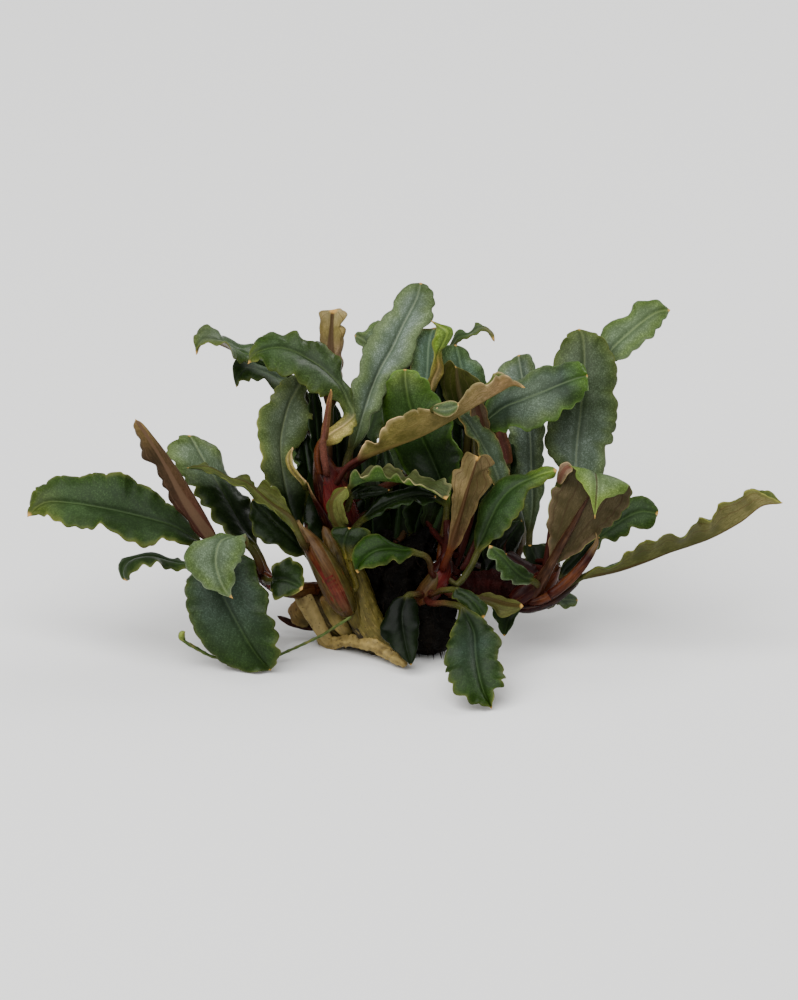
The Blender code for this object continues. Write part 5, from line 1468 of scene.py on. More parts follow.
# brown_stub: its half toward edge_a is painted darker as shade, the other half lighter as painted light.
leaf(
    "brown_stub", "leaf_brown",
    stalk=[(329, 472, 1.4), (329, 440, 2.8)],
    rib=[(330, 408, 4), (330, 370, 5), (331, 340, 6), (332, 318, 6.5), (333, 309, 6.5)],
    edge_a=[(323, 395, 5), (320, 370, 6.5), (320, 340, 7.5), (320, 318, 8), (320, 311, 8)],
    edge_b=[(339, 395, 5), (342, 370, 6), (343, 345, 7), (345, 330, 7.5), (341, 322, 7.5),
        (346, 314, 8), (341, 308, 7.5)],
    upper=(GREEN, GREEN), under=(STALK_RED, MAUVE_BROWN, MAUVE_BROWN, TAN, PALE_TAN), shows="under",
        rim=(0.30, 0.19, 0.06), rib_tone=(0.045, 0.024, 0.010), half_shades=(0.85, 1.2), arch=-0.30,
        frill=(0.3, 0.6), gold=0.8, rib_size=1.5,
)
leaf(
    "upper_left", "leaf_green",
    stalk=[(322, 484, 2.6), (316, 440, 4.6), (311, 405, 6.5), (290, 376, 7.5)],
    rib=[(252, 358, 5), (236, 350, 4), (220, 343, 3), (206, 340, 2), (199, 346, 1), (196, 355, 0.5)],
    edge_a=[(252, 346, 8.5), (239, 345, 8.5), (229, 338, 8), (218, 336, 7.5), (216, 328, 7),
        (204, 326, 6), (197, 331, 5), (197, 343, 2.5)],
    edge_b=[(244, 362, 2.4), (236, 357, 0.5), (228, 349, -0.5), (215, 345, -1), (204, 345, -0.5),
        (199, 350, 0)],
    upper=(GREEN, GREEN, MOSS_GREEN, MOSS_GREEN), stalk_tone=(WINE, STEM_DARK, DARK_GREEN), wet=0.28,
        gold=1.0, frill=1.2,
)
leaf(
    "under_arch", "leaf_dark",
    stalk=[(316, 492, 4.6), (309, 450, 6.2), (304, 415, 8)],
    rib=[(287, 384, 9.5), (268, 374, 9), (248, 368, 7.5), (239, 374, 6.5), (236, 387, 6)],
    edge_a=[(284, 368, 11), (270, 361, 11), (255, 360, 11), (240, 361, 10), (233, 366, 8),
        (233, 376, 7)],
    edge_b=[(278, 391, 7.5), (268, 384, 6.5), (257, 379, 5.5), (245, 379, 5.5), (240, 382, 5.5)],
    upper=(GREY_GREEN, GREY_GREEN, DARK_GREEN, DEEP_GREEN),
)
leaf(
    "tall_centre", "leaf_green",
    stalk=[(341, 482, 0.6), (346, 462, 1.2)],
    rib=[(351, 448, 2), (357, 433, 2.2), (364, 411, 3), (371, 390, 4), (380, 369, 5), (392, 348, 6),
        (403, 325, 7), (416, 300, 8), (421, 282, 8)],
    edge_a=[(349, 438, 1.4), (352, 419, 1.6), (350, 395, 2.2), (353, 380, 2.7), (360, 373, 3.2),
        (361, 360, 3.7), (363, 349, 4.5), (369, 338, 5.3), (376, 325, 6.3), (384, 315, 7.2),
        (393, 308, 8), (394, 299, 9), (402, 289, 9.5), (411, 283, 9)],
    edge_b=[(360, 443, 2.4), (368, 431, 2.6), (371, 416, 3), (380, 409, 3.2), (385, 392, 3.6),
        (391, 378, 4), (402, 371, 4.2), (412, 362, 4.5), (416, 350, 5), (419, 336, 5.5),
        (430, 321, 6.2), (434, 314, 6.6), (432, 308, 7), (435, 303, 7.5), (433, 292, 8), (428, 285, 8)],
    upper=(GREY_GREEN, SILVER_GREEN, SILVER_GREEN, SILVER_GREEN, GREY_GREEN), rim=MOSS_GREEN, wet=0.36,
        frill=0.7,
)
# long_tan: its half toward edge_a, the upper margin, is painted lighter as painted light, the other half
# darker as painted shade.
leaf(
    "long_tan", "leaf_brown",
    stalk=[(336, 484, -2.4), (345, 470, -3.2)],
    rib=[(357, 460, -3.8), (388, 447, -4.3), (420, 435, -4.8), (449, 420, -5.3), (475, 405, -5.6),
        (498, 392, -5.6), (512, 385, -5.6), (525, 388, -5.6)],
    edge_a=[(366, 441, -4.6), (378, 441, -5.2), (384, 428, -5.8), (400, 416, -6.3), (418, 410, -6.8),
        (435, 408, -6.8), (457, 400, -6.8), (469, 389, -7), (478, 383, -7), (488, 383, -7),
        (497, 377, -6.6), (510, 378, -6)],
    edge_b=[(368, 446, -2.2), (385, 440, -1.8), (402, 430, -1.4), (420, 421, -1.3), (440, 411, -1.7),
        (460, 400, -2.2), (478, 388, -2.6), (489, 376, -3), (500, 372, -3.6), (512, 378, -4.6)],
    upper=(GREEN, (0.12, 0.14, 0.05)), under=((0.080, 0.068, 0.018), (0.098, 0.080, 0.020),
        (0.120, 0.092, 0.030), (0.165, 0.115, 0.050), (0.24, 0.14, 0.065)), shows="under",
        rim=(0.30, 0.23, 0.11), rib_tone=DULL_TAN, stalk_tone=(DEEP_RED, STALK_RED), frill=(2.2, 1.6),
        gold=0.8, half_shades=(1.2, 0.85), arch=-0.10,
)
leaf(
    "ruffled_pale", "leaf_brown",
    stalk=[(345, 497, -3.6)],
    rib=[(351, 485, -5), (364, 482, -6), (385, 481, -7), (410, 484, -8), (430, 489, -8.6),
        (446, 500, -9)],
    edge_a=[(351, 474, -5.8), (357, 469, -6.4), (362, 477, -7), (371, 470, -7.5), (379, 465, -8),
        (386, 475, -8.5), (396, 474, -9), (403, 481, -9.5), (411, 478, -9.5), (420, 483, -9.6),
        (438, 493, -9.6)],
    edge_b=[(358, 478, -3.6), (370, 472, -3.6), (390, 466, -4), (405, 473, -4.5), (415, 470, -5),
        (426, 478, -6), (440, 478, -6.5), (449, 485, -7.5), (450, 493, -8.5)],
    upper=(GREEN, BRIGHT_GREEN), under=((0.055, 0.055, 0.016), (0.045, 0.055, 0.016),
        (0.038, 0.052, 0.018)), shows="under", rim=(0.150, 0.145, 0.065), frill=1.1, gold=0.8,
)


# Leaves of the middle crown
# The middle crown carries most leaves: a new one still rolled, a bright one, several dark wet ones in
# front, and a leaf that hangs forward over the foot.
LIME = (0.130, 0.200, 0.036)
OLIVE_TAN = (0.070, 0.074, 0.018)
leaf(
    "twisted_new", "leaf_bright",
    stalk=[(428, 520, 6), (431, 470, 7.5), (427, 420, 8)],
    rib=[(428, 395, 7.5), (433, 378, 7.2), (438, 366, 6.8), (437, 354, 6.6), (443, 342, 6.6),
        (447, 332, 6.6), (440, 326, 6.6), (431, 320, 6.4)],
    edge_a=[(426, 386, 7), (430, 374, 6.6), (433, 362, 6.3), (434, 352, 6.1), (432, 340, 6.1),
        (436, 332, 6.2), (436, 326, 6.4)],
    edge_b=[(434, 392, 8.2), (441, 376, 8.2), (444, 366, 8), (442, 357, 7.6), (442, 349, 7.3),
        (450, 343, 7.6), (455, 334, 8), (452, 327, 7.6), (441, 324, 7)],
    upper=(DULL_TAN, PALE_TAN, TAN, LIME, LIME, YOLK_GREEN), under=(TAN, TAN, YOLK_GREEN),
        rim=YOLK_GREEN, frill=0.7, gold=0.7,
)
leaf(
    "hooked", "leaf_green",
    stalk=[(437, 522, 8), (452, 460, 11), (454, 400, 12.5)],
    rib=[(451, 350, 12.4), (458, 338, 11.4), (470, 334, 10.4), (480, 328, 9.4), (488, 330, 8.8),
        (495, 341, 8)],
    edge_a=[(454, 338, 13), (462, 330, 13), (469, 333, 12.6), (474, 330, 12.2), (478, 325, 11.4),
        (486, 327, 10.4), (493, 333, 9.2)],
    edge_b=[(458, 342, 10.8), (465, 339, 9.4), (476, 337, 8.4), (481, 331, 8), (489, 333, 7.8),
        (493, 339, 7.6)],
    upper=(MOSS_GREEN, GREEN, MOSS_GREEN, DULL_TAN), gold=1.0,
)
leaf(
    "folded", "leaf_dark",
    stalk=[(446, 528, 6.6), (462, 480, 8.5), (468, 440, 9.2)],
    rib=[(466, 415, 8.6), (460, 395, 7.8), (457, 378, 7.4), (456, 366, 7.4)],
    edge_a=[(452, 408, 9), (443, 394, 9), (440, 378, 9), (443, 364, 8.8), (450, 360, 8.2)],
    edge_b=[(481, 410, 9), (486, 396, 9.2), (484, 386, 9.2), (475, 376, 9), (465, 370, 8.2)],
    upper=(GREY_GREEN, GREY_GREEN), under=(DEEP_GREEN, (0.030, 0.034, 0.006), (0.052, 0.054, 0.010)),
        shows="under", rim=OLIVE_TAN, rib_tone=BROWN, gold=0.3, frill=0.3,
)
# centre_big: lightest at its tip, partly its own bright yellow-green and partly a painted wet highlight.
leaf(
    "centre_big", "leaf_bright",
    stalk=[(440, 566, 0.4), (441, 548, 1.4), (445, 525, 2.6)],
    rib=[(447, 506, 3.2), (444, 490, 3.2), (439, 475, 3.2), (430, 454, 3.6), (420, 433, 4),
        (410, 405, 4), (406, 385, 3.6), (405, 369, 3)],
    edge_a=[(430, 498, 3.6), (413, 484, 3.8), (400, 462, 4.2), (392, 445, 4.6), (384, 425, 5),
        (382, 406, 5), (384, 391, 4.6), (387, 381, 4), (392, 374, 3.6), (398, 370, 3.3)],
    edge_b=[(451, 492, 2.8), (454, 478, 2.4), (460, 466, 2), (462, 455, 2), (460, 448, 2),
        (452, 438, 2.4), (453, 425, 3), (448, 411, 3), (438, 398, 3), (431, 389, 3), (425, 379, 3),
        (414, 371, 3)],
    upper=(NIGHT_GREEN, (0.006, 0.014, 0.003), (0.008, 0.018, 0.004), (0.014, 0.034, 0.006),
        (0.034, 0.066, 0.016), (0.130, 0.175, 0.070)), rim=BRIGHT_GREEN, wet=0.30,
        stalk_tone=(DEEP_RED, RUST, STALK_OLIVE), frill=0.6,
)
leaf(
    "small_bright", "leaf_bright",
    stalk=[(431, 572, -5.4), (428, 558, -7)],
    rib=[(413, 552, -8.4), (395, 549, -9), (378, 550, -9.5), (365, 558, -9.5), (358, 573, -9)],
    edge_a=[(403, 547, -7.5), (392, 542, -7.5), (380, 534, -8), (370, 534, -8), (362, 537, -8),
        (355, 546, -8.5), (352, 556, -9), (354, 567, -9)],
    edge_b=[(407, 559, -9.5), (400, 562, -10), (394, 559, -10), (383, 565, -10.5), (369, 567, -10.5),
        (361, 569, -10)],
    upper=((0.008, 0.022, 0.002), (0.009, 0.026, 0.002), (0.012, 0.036, 0.003)), wet=0.34, gold=0.7,
        frill=0.6,
)
# brown_upright: its half toward edge_a is painted lighter as painted light, the other half darker as
# painted shade.
leaf(
    "brown_upright", "leaf_brown",
    stalk=[(443, 567, -4.8)],
    rib=[(450, 550, -5.6), (455, 532, -6), (461, 512, -6), (467, 491, -6), (473, 472, -6),
        (478, 457, -6)],
    edge_a=[(449, 536, -5.6), (451, 516, -5.2), (452, 491, -4.6), (452, 472, -4.2), (460, 468, -4),
        (461, 458, -4), (467, 452, -4.6)],
    edge_b=[(461, 542, -5.6), (467, 528, -5.2), (474, 513, -4.6), (482, 495, -4.2), (489, 487, -4),
        (491, 480, -4), (488, 469, -4), (495, 463, -4), (487, 455, -4.6)],
    upper=(GREEN, GREEN), under=(STALK_RED, (0.098, 0.070, 0.028), (0.140, 0.100, 0.042),
        (0.165, 0.120, 0.055)), shows="under", rim=(0.140, 0.100, 0.036),
        rib_tone=(0.050, 0.024, 0.010), gold=0.8, rib_size=1.2, frill=0.3,
        stalk_tone=(DEEP_RED, PINK_RED, RUST), half_shades=(1.2, 0.85),
)
leaf(
    "curved_green", "leaf_green",
    stalk=[(457, 584, -3.6), (470, 568, -3.6)],
    rib=[(478, 551, -3.2), (483, 538, -3), (490, 521, -3), (500, 502, -3), (512, 489, -3),
        (528, 480, -3), (543, 474, -3), (557, 470, -3)],
    edge_a=[(474, 538, -2.4), (476, 518, -1.8), (484, 498, -1.2), (495, 483, -1), (508, 475, -1),
        (520, 474, -1), (530, 477, -1.2), (542, 468, -2), (552, 467, -2.5)],
    edge_b=[(487, 546, -4.2), (502, 537, -4.8), (515, 520, -5), (524, 506, -5), (526, 494, -4.6),
        (530, 489, -4.2), (542, 483, -4), (554, 476, -3.4)],
    upper=(DEEP_GREEN, DARK_GREEN, (0.020, 0.046, 0.012), GREEN, LIME), wet=0.34, gold=0.7,
        stalk_tone=(STALK_RED, STALK_OLIVE, STALK_OLIVE),
)
leaf(
    "mid_right", "leaf_green",
    stalk=[(452, 566, 1.8), (467, 520, 3.2), (480, 470, 4)],
    rib=[(486, 424, 3), (502, 409, 2.2), (520, 401, 1.5), (543, 392, 1), (557, 386, 1), (575, 379, 1.8),
        (588, 376, 2.5)],
    edge_a=[(486, 404, 4), (495, 390, 4.2), (510, 380, 4.2), (525, 374, 4), (536, 366, 4),
        (546, 364, 4), (556, 367, 4), (565, 361, 4), (576, 361, 4), (585, 367, 3.5)],
    edge_b=[(491, 431, 1), (500, 432, 0), (509, 431, -0.5), (516, 426, -1), (525, 431, -1),
        (535, 430, -1), (545, 423, -1), (556, 419, -1), (567, 410, -0.6), (580, 400, 0.2),
        (588, 389, 1.2)],
    upper=(DARK_GREEN, BLUE_GREEN, GREY_GREEN, BLUE_GREEN, BRIGHT_GREEN), rim=BRIGHT_GREEN, wet=0.34,
        rib_tone=(0.070, 0.100, 0.048),
)
leaf(
    "centre_grey", "leaf_dark",
    stalk=[(461, 571, 0), (482, 530, 1)],
    rib=[(502, 492, 1.6), (495, 470, 0.8), (482, 445, 0), (470, 425, -0.4), (459, 411, -0.6)],
    edge_a=[(491, 480, 0.6), (484, 462, -0.6), (477, 450, -1), (476, 441, -1.4), (466, 434, -1.4),
        (462, 424, -1.4), (455, 414, -1)],
    edge_b=[(508, 478, 2.4), (503, 455, 2), (495, 438, 1.2), (483, 424, 0.6), (470, 411, 0.2)],
    upper=(GREY_GREEN, GREY_GREEN), rim=TAN,
)
leaf(
    "low_front", "leaf_dark",
    stalk=[(432, 594, -5.8), (442, 590, -7.6)],
    rib=[(456, 590, -9.4), (468, 597, -10.4), (477, 607, -10.8), (483, 618, -11)],
    edge_a=[(468, 590, -9), (480, 597, -10), (487, 606, -10.5), (486, 614, -10.9)],
    edge_b=[(452, 597, -10.4), (462, 602, -11.2), (471, 611, -11.6), (478, 617, -11.5)],
    upper=(DEEP_GREEN, DARK_GREEN), rim=YOLK_GREEN, wet=0.30, gold=0.6,
)
leaf(
    "low_olive", "leaf_brown",
    stalk=[(450, 594, -4.4), (463, 596, -6)],
    rib=[(478, 598, -7.4), (492, 600, -8), (508, 604, -8.5), (523, 606, -8.5)],
    edge_a=[(486, 592, -6.6), (502, 596, -7.2), (518, 601, -8)],
    edge_b=[(486, 604, -8.6), (494, 609, -9), (499, 616, -9.4), (508, 616, -9.4), (516, 612, -9)],
    upper=(GREEN, GREEN), under=((0.04, 0.036, 0.009), OLIVE_TAN), shows="under", rim=OLIVE_TAN,
        gold=0.7, frill=0.6,
)
leaf(
    "hanging_front", "leaf_green",
    stalk=[(431, 603, -6.4), (446, 603, -9.2)],
    rib=[(462, 608, -11.6), (473, 630, -14), (475, 650, -16.6), (477, 668, -19), (482, 688, -21),
        (491, 707, -22.2)],
    edge_a=[(457, 618, -12.8), (452, 629, -14), (447, 643, -16), (445, 655, -17.6), (446, 668, -19.4),
        (451, 681, -21.4), (458, 694, -22.6), (470, 701, -23), (484, 703, -23)],
    edge_b=[(480, 616, -13), (494, 630, -15), (500, 644, -17), (495, 653, -18.2), (500, 662, -19.2),
        (503, 672, -20.2), (502, 684, -21.6), (495, 687, -22), (493, 698, -22.8)],
    upper=((0.005, 0.012, 0.003), (0.008, 0.018, 0.005), (0.019, 0.034, 0.020), (0.018, 0.034, 0.014),
        (0.015, 0.034, 0.007), (0.024, 0.050, 0.010)), wet=0.34, frill=1.1, gold=0.5,
)
leaf(
    "glossy_low", "leaf_dark",
    stalk=[(418, 594, -5)],
    rib=[(406, 597, -6.2), (402, 615, -7.2), (405, 640, -8), (411, 665, -9.2)],
    edge_a=[(394, 599, -6.4), (385, 614, -6.8), (380, 631, -7), (390, 645, -7.8), (403, 658, -8.8)],
    edge_b=[(416, 600, -6.2), (419, 620, -7.2), (418, 640, -8), (416, 655, -8.8)],
    upper=((0.0010, 0.0030, 0.0004), (0.0016, 0.0048, 0.0005), (0.0045, 0.0110, 0.0014)),
        rim=NIGHT_GREEN, wet=0.34, frill=0.6, rib_tone=NIGHT_GREEN,
)


# Leaves of the right crown
# Long leaves that lean out to the right. The largest is a brown fan seen from below, with dark veins and
# a green flap folded over at its far margin.
leaf(
    "tall_right", "leaf_green",
    stalk=[(543, 570, 1.6), (560, 540, 4), (571, 510, 5.4)],
    rib=[(576, 484, 6), (577, 449, 6.6), (581, 413, 7.2), (585, 367, 8.4), (584, 340, 9.4),
        (580, 328, 10)],
    edge_a=[(566, 476, 7), (556, 462, 7.5), (547, 450, 8), (546, 438, 8), (549, 425, 8),
        (552, 400, 8.5), (553, 380, 9), (555, 362, 9.5), (559, 350, 10), (566, 338, 10),
        (572, 331, 10.2)],
    edge_b=[(590, 486, 7), (601, 478, 7.5), (607, 465, 8), (606, 448, 8), (613, 441, 8),
        (617, 420, 8.5), (619, 403, 8.5), (615, 392, 9), (619, 377, 9), (617, 362, 9.5), (610, 346, 10),
        (600, 335, 10), (590, 331, 10.2)],
    upper=(GREY_GREEN, SILVER_GREEN, (0.046, 0.066, 0.034), (0.052, 0.072, 0.038),
        (0.055, 0.074, 0.030)), wet=0.36,
)
leaf(
    "upper_right", "leaf_green",
    stalk=[(546, 566, 4), (572, 520, 9), (594, 440, 12)],
    rib=[(606, 364, 13), (613, 349, 13.2), (625, 337, 13.6), (640, 324, 14), (657, 312, 14.5),
        (672, 309, 14.5)],
    edge_a=[(602, 347, 14), (603, 330, 15), (612, 321, 15.5), (630, 314, 16), (637, 303, 16),
        (648, 300, 16), (659, 299, 15.5), (667, 305, 15)],
    edge_b=[(612, 361, 12), (621, 361, 12), (629, 355, 12), (637, 349, 12.5), (644, 343, 13),
        (653, 338, 13), (658, 330, 13.5), (664, 323, 14)],
    upper=(GREY_GREEN, (0.085, 0.125, 0.060), (0.085, 0.125, 0.055), (0.060, 0.092, 0.030)),
        rim=PALE_GREEN, wet=0.36, gold=0.5, frill=0.8,
)
# grey_behind: its half toward edge_b is painted darker as shade.
leaf(
    "grey_behind", "leaf_dark",
    stalk=[(531, 571, 3.4), (529, 556, 6)],
    rib=[(530, 532, 8.6), (533, 505, 9.4), (532, 470, 10), (531, 440, 10.4), (527, 400, 11),
        (522, 372, 11.5), (519, 354, 11.5)],
    edge_a=[(524, 520, 9), (516, 480, 10), (511, 450, 10.4), (508, 420, 11), (503, 395, 11.6),
        (496, 376, 12), (503, 364, 12.4), (512, 358, 12.4)],
    edge_b=[(540, 507, 9), (545, 480, 9.4), (544, 450, 9.8), (545, 425, 10.2), (540, 400, 10.8),
        (536, 375, 11.2), (535, 362, 11.6), (530, 354, 12)],
    upper=(GREY_GREEN, SILVER_GREEN, SILVER_GREEN), rim=GREY_GREEN, half_shades=(1.0, 0.75), wet=0.34,
)
leaf(
    "big_fan", "leaf_brown",
    stalk=[(542, 576, -4.2)],
    rib=[(552, 562, -5.2), (561, 545, -6), (574, 523, -7), (585, 503, -7.6), (592, 486, -8),
        (594, 474, -9), (596, 484, -10.4), (595, 501, -10.8), (594, 519, -10.8)],
    edge_a=[(549, 552, -5), (548, 540, -4.8), (548, 523, -4.6), (549, 504, -4.8), (552, 490, -5.2),
        (560, 480, -5.8), (563, 467, -6.6), (573, 465, -8), (576, 476, -9.6), (588, 495, -10.6),
        (592, 508, -10.8)],
    edge_b=[(566, 559, -5.2), (580, 550, -5.2), (593, 538, -5.2), (610, 525, -5.4), (624, 511, -5.8),
        (631, 496, -6.4), (629, 489, -7.6), (620, 494, -9.6), (604, 499, -10.6), (597, 508, -10.8)],
    upper=(GREEN, GREEN, GREEN, GREEN, (0.13, 0.18, 0.075), (0.14, 0.19, 0.060)),
        under=((0.036, 0.027, 0.010), (0.066, 0.050, 0.023), (0.076, 0.060, 0.030),
        (0.095, 0.073, 0.038)), shows="under", rim=LIME, rib_tone=(0.036, 0.020, 0.010), frill=0.9,
        gold=0.8, under_rim=MAUVE_BROWN,
)
leaf(
    "long_right", "leaf_brown",
    stalk=[(548, 598, -3.6), (562, 590, -3.4)],
    rib=[(582, 577, -3), (600, 573, -2.6), (621, 568, -2.2), (645, 560, -2), (668, 551, -1.6),
        (690, 544, -1.2), (712, 536, -1), (740, 521, -0.5), (762, 505, 0), (783, 503, 0)],
    edge_a=[(590, 571, -3.8), (598, 566, -4.2), (610, 567, -4.6), (627, 556, -5), (641, 544, -5.5),
        (653, 546, -5.5), (666, 533, -5.5), (681, 538, -5.5), (694, 526, -5), (710, 526, -4.5),
        (719, 511, -4), (733, 502, -3.5), (745, 498, -3), (757, 493, -2), (770, 499, -1)],
    edge_b=[(596, 570, -1), (612, 563, 0.5), (630, 557, 1.5), (648, 550, 2), (668, 541, 2.5),
        (690, 532, 3), (710, 520, 3), (730, 507, 3), (750, 495, 2.5), (768, 494, 1.5), (778, 500, 0.5)],
    upper=(GREEN, OLIVE_GREEN), under=(OLIVE_TAN, (0.066, 0.066, 0.018), (0.19, 0.165, 0.060)),
        shows="under", rim=YOLK_GREEN, frill=(1.8, 2.0), gold=0.5,
)
leaf(
    "right_behind", "leaf_dark",
    stalk=[(557, 582, 2.4), (568, 568, 4.4)],
    rib=[(580, 553, 6), (600, 537, 7), (620, 522, 8), (640, 512, 8.5), (659, 514, 8.5)],
    edge_a=[(588, 537, 7.6), (605, 518, 9.4), (620, 504, 10), (630, 498, 10), (643, 497, 10),
        (654, 502, 9.5), (659, 509, 9)],
    edge_b=[(592, 552, 5), (604, 539, 6), (617, 539, 6.5), (628, 534, 7), (635, 528, 7.5),
        (647, 530, 7.5), (655, 524, 8)],
    upper=(DARK_GREEN, DARK_GREEN, GREEN), gold=0.5,
)
leaf(
    "small_pale", "leaf_green",
    stalk=[(537, 584, -5.2)],
    rib=[(531, 580, -6.2), (522, 576, -7), (511, 567, -8), (502, 556, -8.5), (489, 545, -9)],
    edge_a=[(525, 585, -7), (515, 583, -8), (508, 581, -9), (503, 574, -9.5), (498, 566, -9.5),
        (490, 559, -9.5), (488, 552, -9.5)],
    edge_b=[(533, 574, -5.8), (525, 571, -6), (515, 564, -6.5), (507, 557, -7.5), (502, 550, -8)],
    upper=(DEEP_GREEN, (0.020, 0.040, 0.012), GREEN), rim=PALE_GREEN, gold=0.7, frill=1.5,
)
leaf(
    "small_round", "leaf_green",
    stalk=[(548, 606, 1)],
    rib=[(556, 601, 1), (567, 600, 1.2), (578, 601, 1.4)],
    edge_a=[(562, 595, 2.2), (572, 594, 2.4), (577, 597, 2)],
    edge_b=[(558, 607, 0), (567, 609, 0), (575, 606, 0.6)],
    upper=(GREY_GREEN, GREY_GREEN),
)


# Leaves behind the clump
# The photograph shows one side only. These six leaves are guessed, like the others in size and colour,
# so that the clump is full all round.
leaf(
    "back_left", "leaf_green",
    stalk=[(330, 520, 6), (322, 500, 9)],
    rib=[(314, 486, 12), (304, 462, 17), (298, 442, 22), (296, 432, 27), (297, 428, 31)],
    edge_a=[(304, 480, 14), (293, 460, 18), (284, 444, 22), (283, 434, 26), (290, 428, 29)],
    edge_b=[(322, 478, 13), (318, 458, 19), (312, 442, 24), (308, 432, 28), (303, 428, 30)],
    upper=(DARK_GREEN, GREEN, GREEN),
)
leaf(
    "back_centre", "leaf_brown",
    stalk=[(400, 540, 7), (402, 520, 10)],
    rib=[(404, 500, 14), (406, 470, 19), (408, 445, 24), (410, 430, 29), (411, 424, 33)],
    edge_a=[(394, 494, 15), (388, 468, 20), (388, 446, 25), (394, 432, 29), (402, 425, 32)],
    edge_b=[(416, 494, 14), (424, 468, 20), (428, 446, 25), (426, 432, 30), (419, 425, 32)],
    upper=(DARK_GREEN, GREEN, GREY_GREEN), under=(BROWN, DULL_TAN, DULL_TAN), rim=TAN,
)
leaf(
    "back_right", "leaf_green",
    stalk=[(520, 560, 6), (522, 545, 9)],
    rib=[(524, 525, 13), (522, 495, 18), (518, 465, 23), (514, 445, 28), (512, 436, 32)],
    edge_a=[(512, 520, 14), (504, 492, 19), (500, 466, 24), (503, 448, 28), (507, 439, 31)],
    edge_b=[(536, 520, 14), (540, 495, 20), (536, 468, 25), (530, 450, 29), (520, 439, 31)],
    upper=(DARK_GREEN, BLUE_GREEN, GREEN),
)
leaf(
    "back_low_left", "leaf_dark",
    stalk=[(360, 560, 9), (356, 556, 12)],
    rib=[(350, 556, 16), (340, 558, 21), (332, 566, 26), (328, 579, 30.6)],
    edge_a=[(336, 556, 17), (324, 562, 22), (320, 572, 27)],
    edge_b=[(362, 556, 19), (352, 562, 25), (340, 572, 29)],
    upper=(DARK_GREEN, DARK_GREEN, GREEN),
)
leaf(
    "back_low_right", "leaf_dark",
    stalk=[(480, 566, 6), (484, 562, 9)],
    rib=[(490, 560, 14), (498, 562, 19), (506, 570, 24), (512, 583, 29)],
    edge_a=[(480, 562, 16), (484, 568, 22), (498, 578, 26)],
    edge_b=[(502, 556, 15), (516, 562, 20), (520, 572, 24)],
    upper=(DARK_GREEN, DARK_GREEN, BLUE_GREEN),
)
leaf(
    "back_high", "leaf_green",
    stalk=[(348, 500, 6), (352, 480, 8)],
    rib=[(358, 462, 11), (368, 430, 15), (376, 404, 19), (382, 390, 23), (385, 384, 26)],
    edge_a=[(350, 456, 11), (354, 428, 16), (360, 404, 20), (368, 390, 23), (377, 385, 25)],
    edge_b=[(368, 458, 11), (382, 430, 15), (392, 406, 19), (394, 392, 23), (390, 386, 25)],
    upper=(DARK_GREEN, GREEN, BRIGHT_GREEN), rim=YOLK_GREEN,
)


# Leaves deep in the clump
# Between the crowns stand older leaves, dark and wet, that little light reaches; their near-black colour
# is partly their own dark green and partly painted shade. Only parts of them show in the gaps. Each is
# written by the two ends of its rib, its half width in columns and its turn.
INNER_BOW = 1.5
INNER_STALK = 0.12
INNER_RIB = (0.25, 0.42, 0.6, 0.8, 1.0)
INNER_WIDTHS = {0.42: 0.8, 0.6: 1.0, 0.78: 0.85, 0.92: 0.45}
INNER_LEAVES = [
    ("inner_a", (340, 570, 4), (316, 448, 6), 21, 1),
    ("inner_o", (350, 560, 4), (334, 470, 6), 13, -1),
    ("inner_p", (346, 530, 6), (353, 424, 8), 12, 1),
    ("inner_q", (356, 596, 3), (312, 462, 5), 25, 2),
    ("inner_r", (366, 545, 7), (359, 426, 9), 17, -1),
    ("inner_b", (352, 575, 6), (343, 462, 9), 20, -2),
    ("inner_s", (318, 540, 4), (301, 424, 6), 11, 1),
    ("inner_t", (322, 500, 5), (312, 380, 6.2), 8, 1),
    ("inner_u", (340, 505, 5), (333, 402, 7), 11, 1),
    ("inner_v", (446, 480, 10), (443, 356, 11.5), 12, 1),
    ("inner_w", (462, 602, 6), (484, 522, 9), 17, 1),
    ("inner_x", (463, 500, 10.5), (461, 402, 12), 11, 1),
    ("inner_y", (422, 470, 10), (408, 354, 11), 9, 1),
    ("inner_z", (391, 506, 8), (384, 444, 9), 8, -1),
    ("inner_c", (372, 590, 5), (372, 478, 8), 19, 2),
    ("inner_d", (392, 596, 8), (402, 470, 11), 21, -1),
    ("inner_e", (404, 560, 7), (436, 462, 8), 19, 2),
    ("inner_f", (418, 570, 6), (458, 470, 5), 17, -2),
    ("inner_g", (440, 575, 5), (470, 470, 8), 18, 1),
    ("inner_h", (452, 585, 5), (494, 486, 7), 20, -1),
    ("inner_i", (470, 590, 4), (522, 520, 8), 15, 2),
    ("inner_j", (436, 560, 10), (497, 405, 13), 21, 1),
    ("inner_k", (360, 540, 9), (383, 452, 12), 17, 2),
    ("inner_l", (470, 540, 6), (512, 440, 11), 17, -2),
    ("inner_m", (330, 590, 6), (352, 520, 6), 13, 2),
    ("inner_n", (520, 590, 5), (560, 540, 8), 15, -1),
]


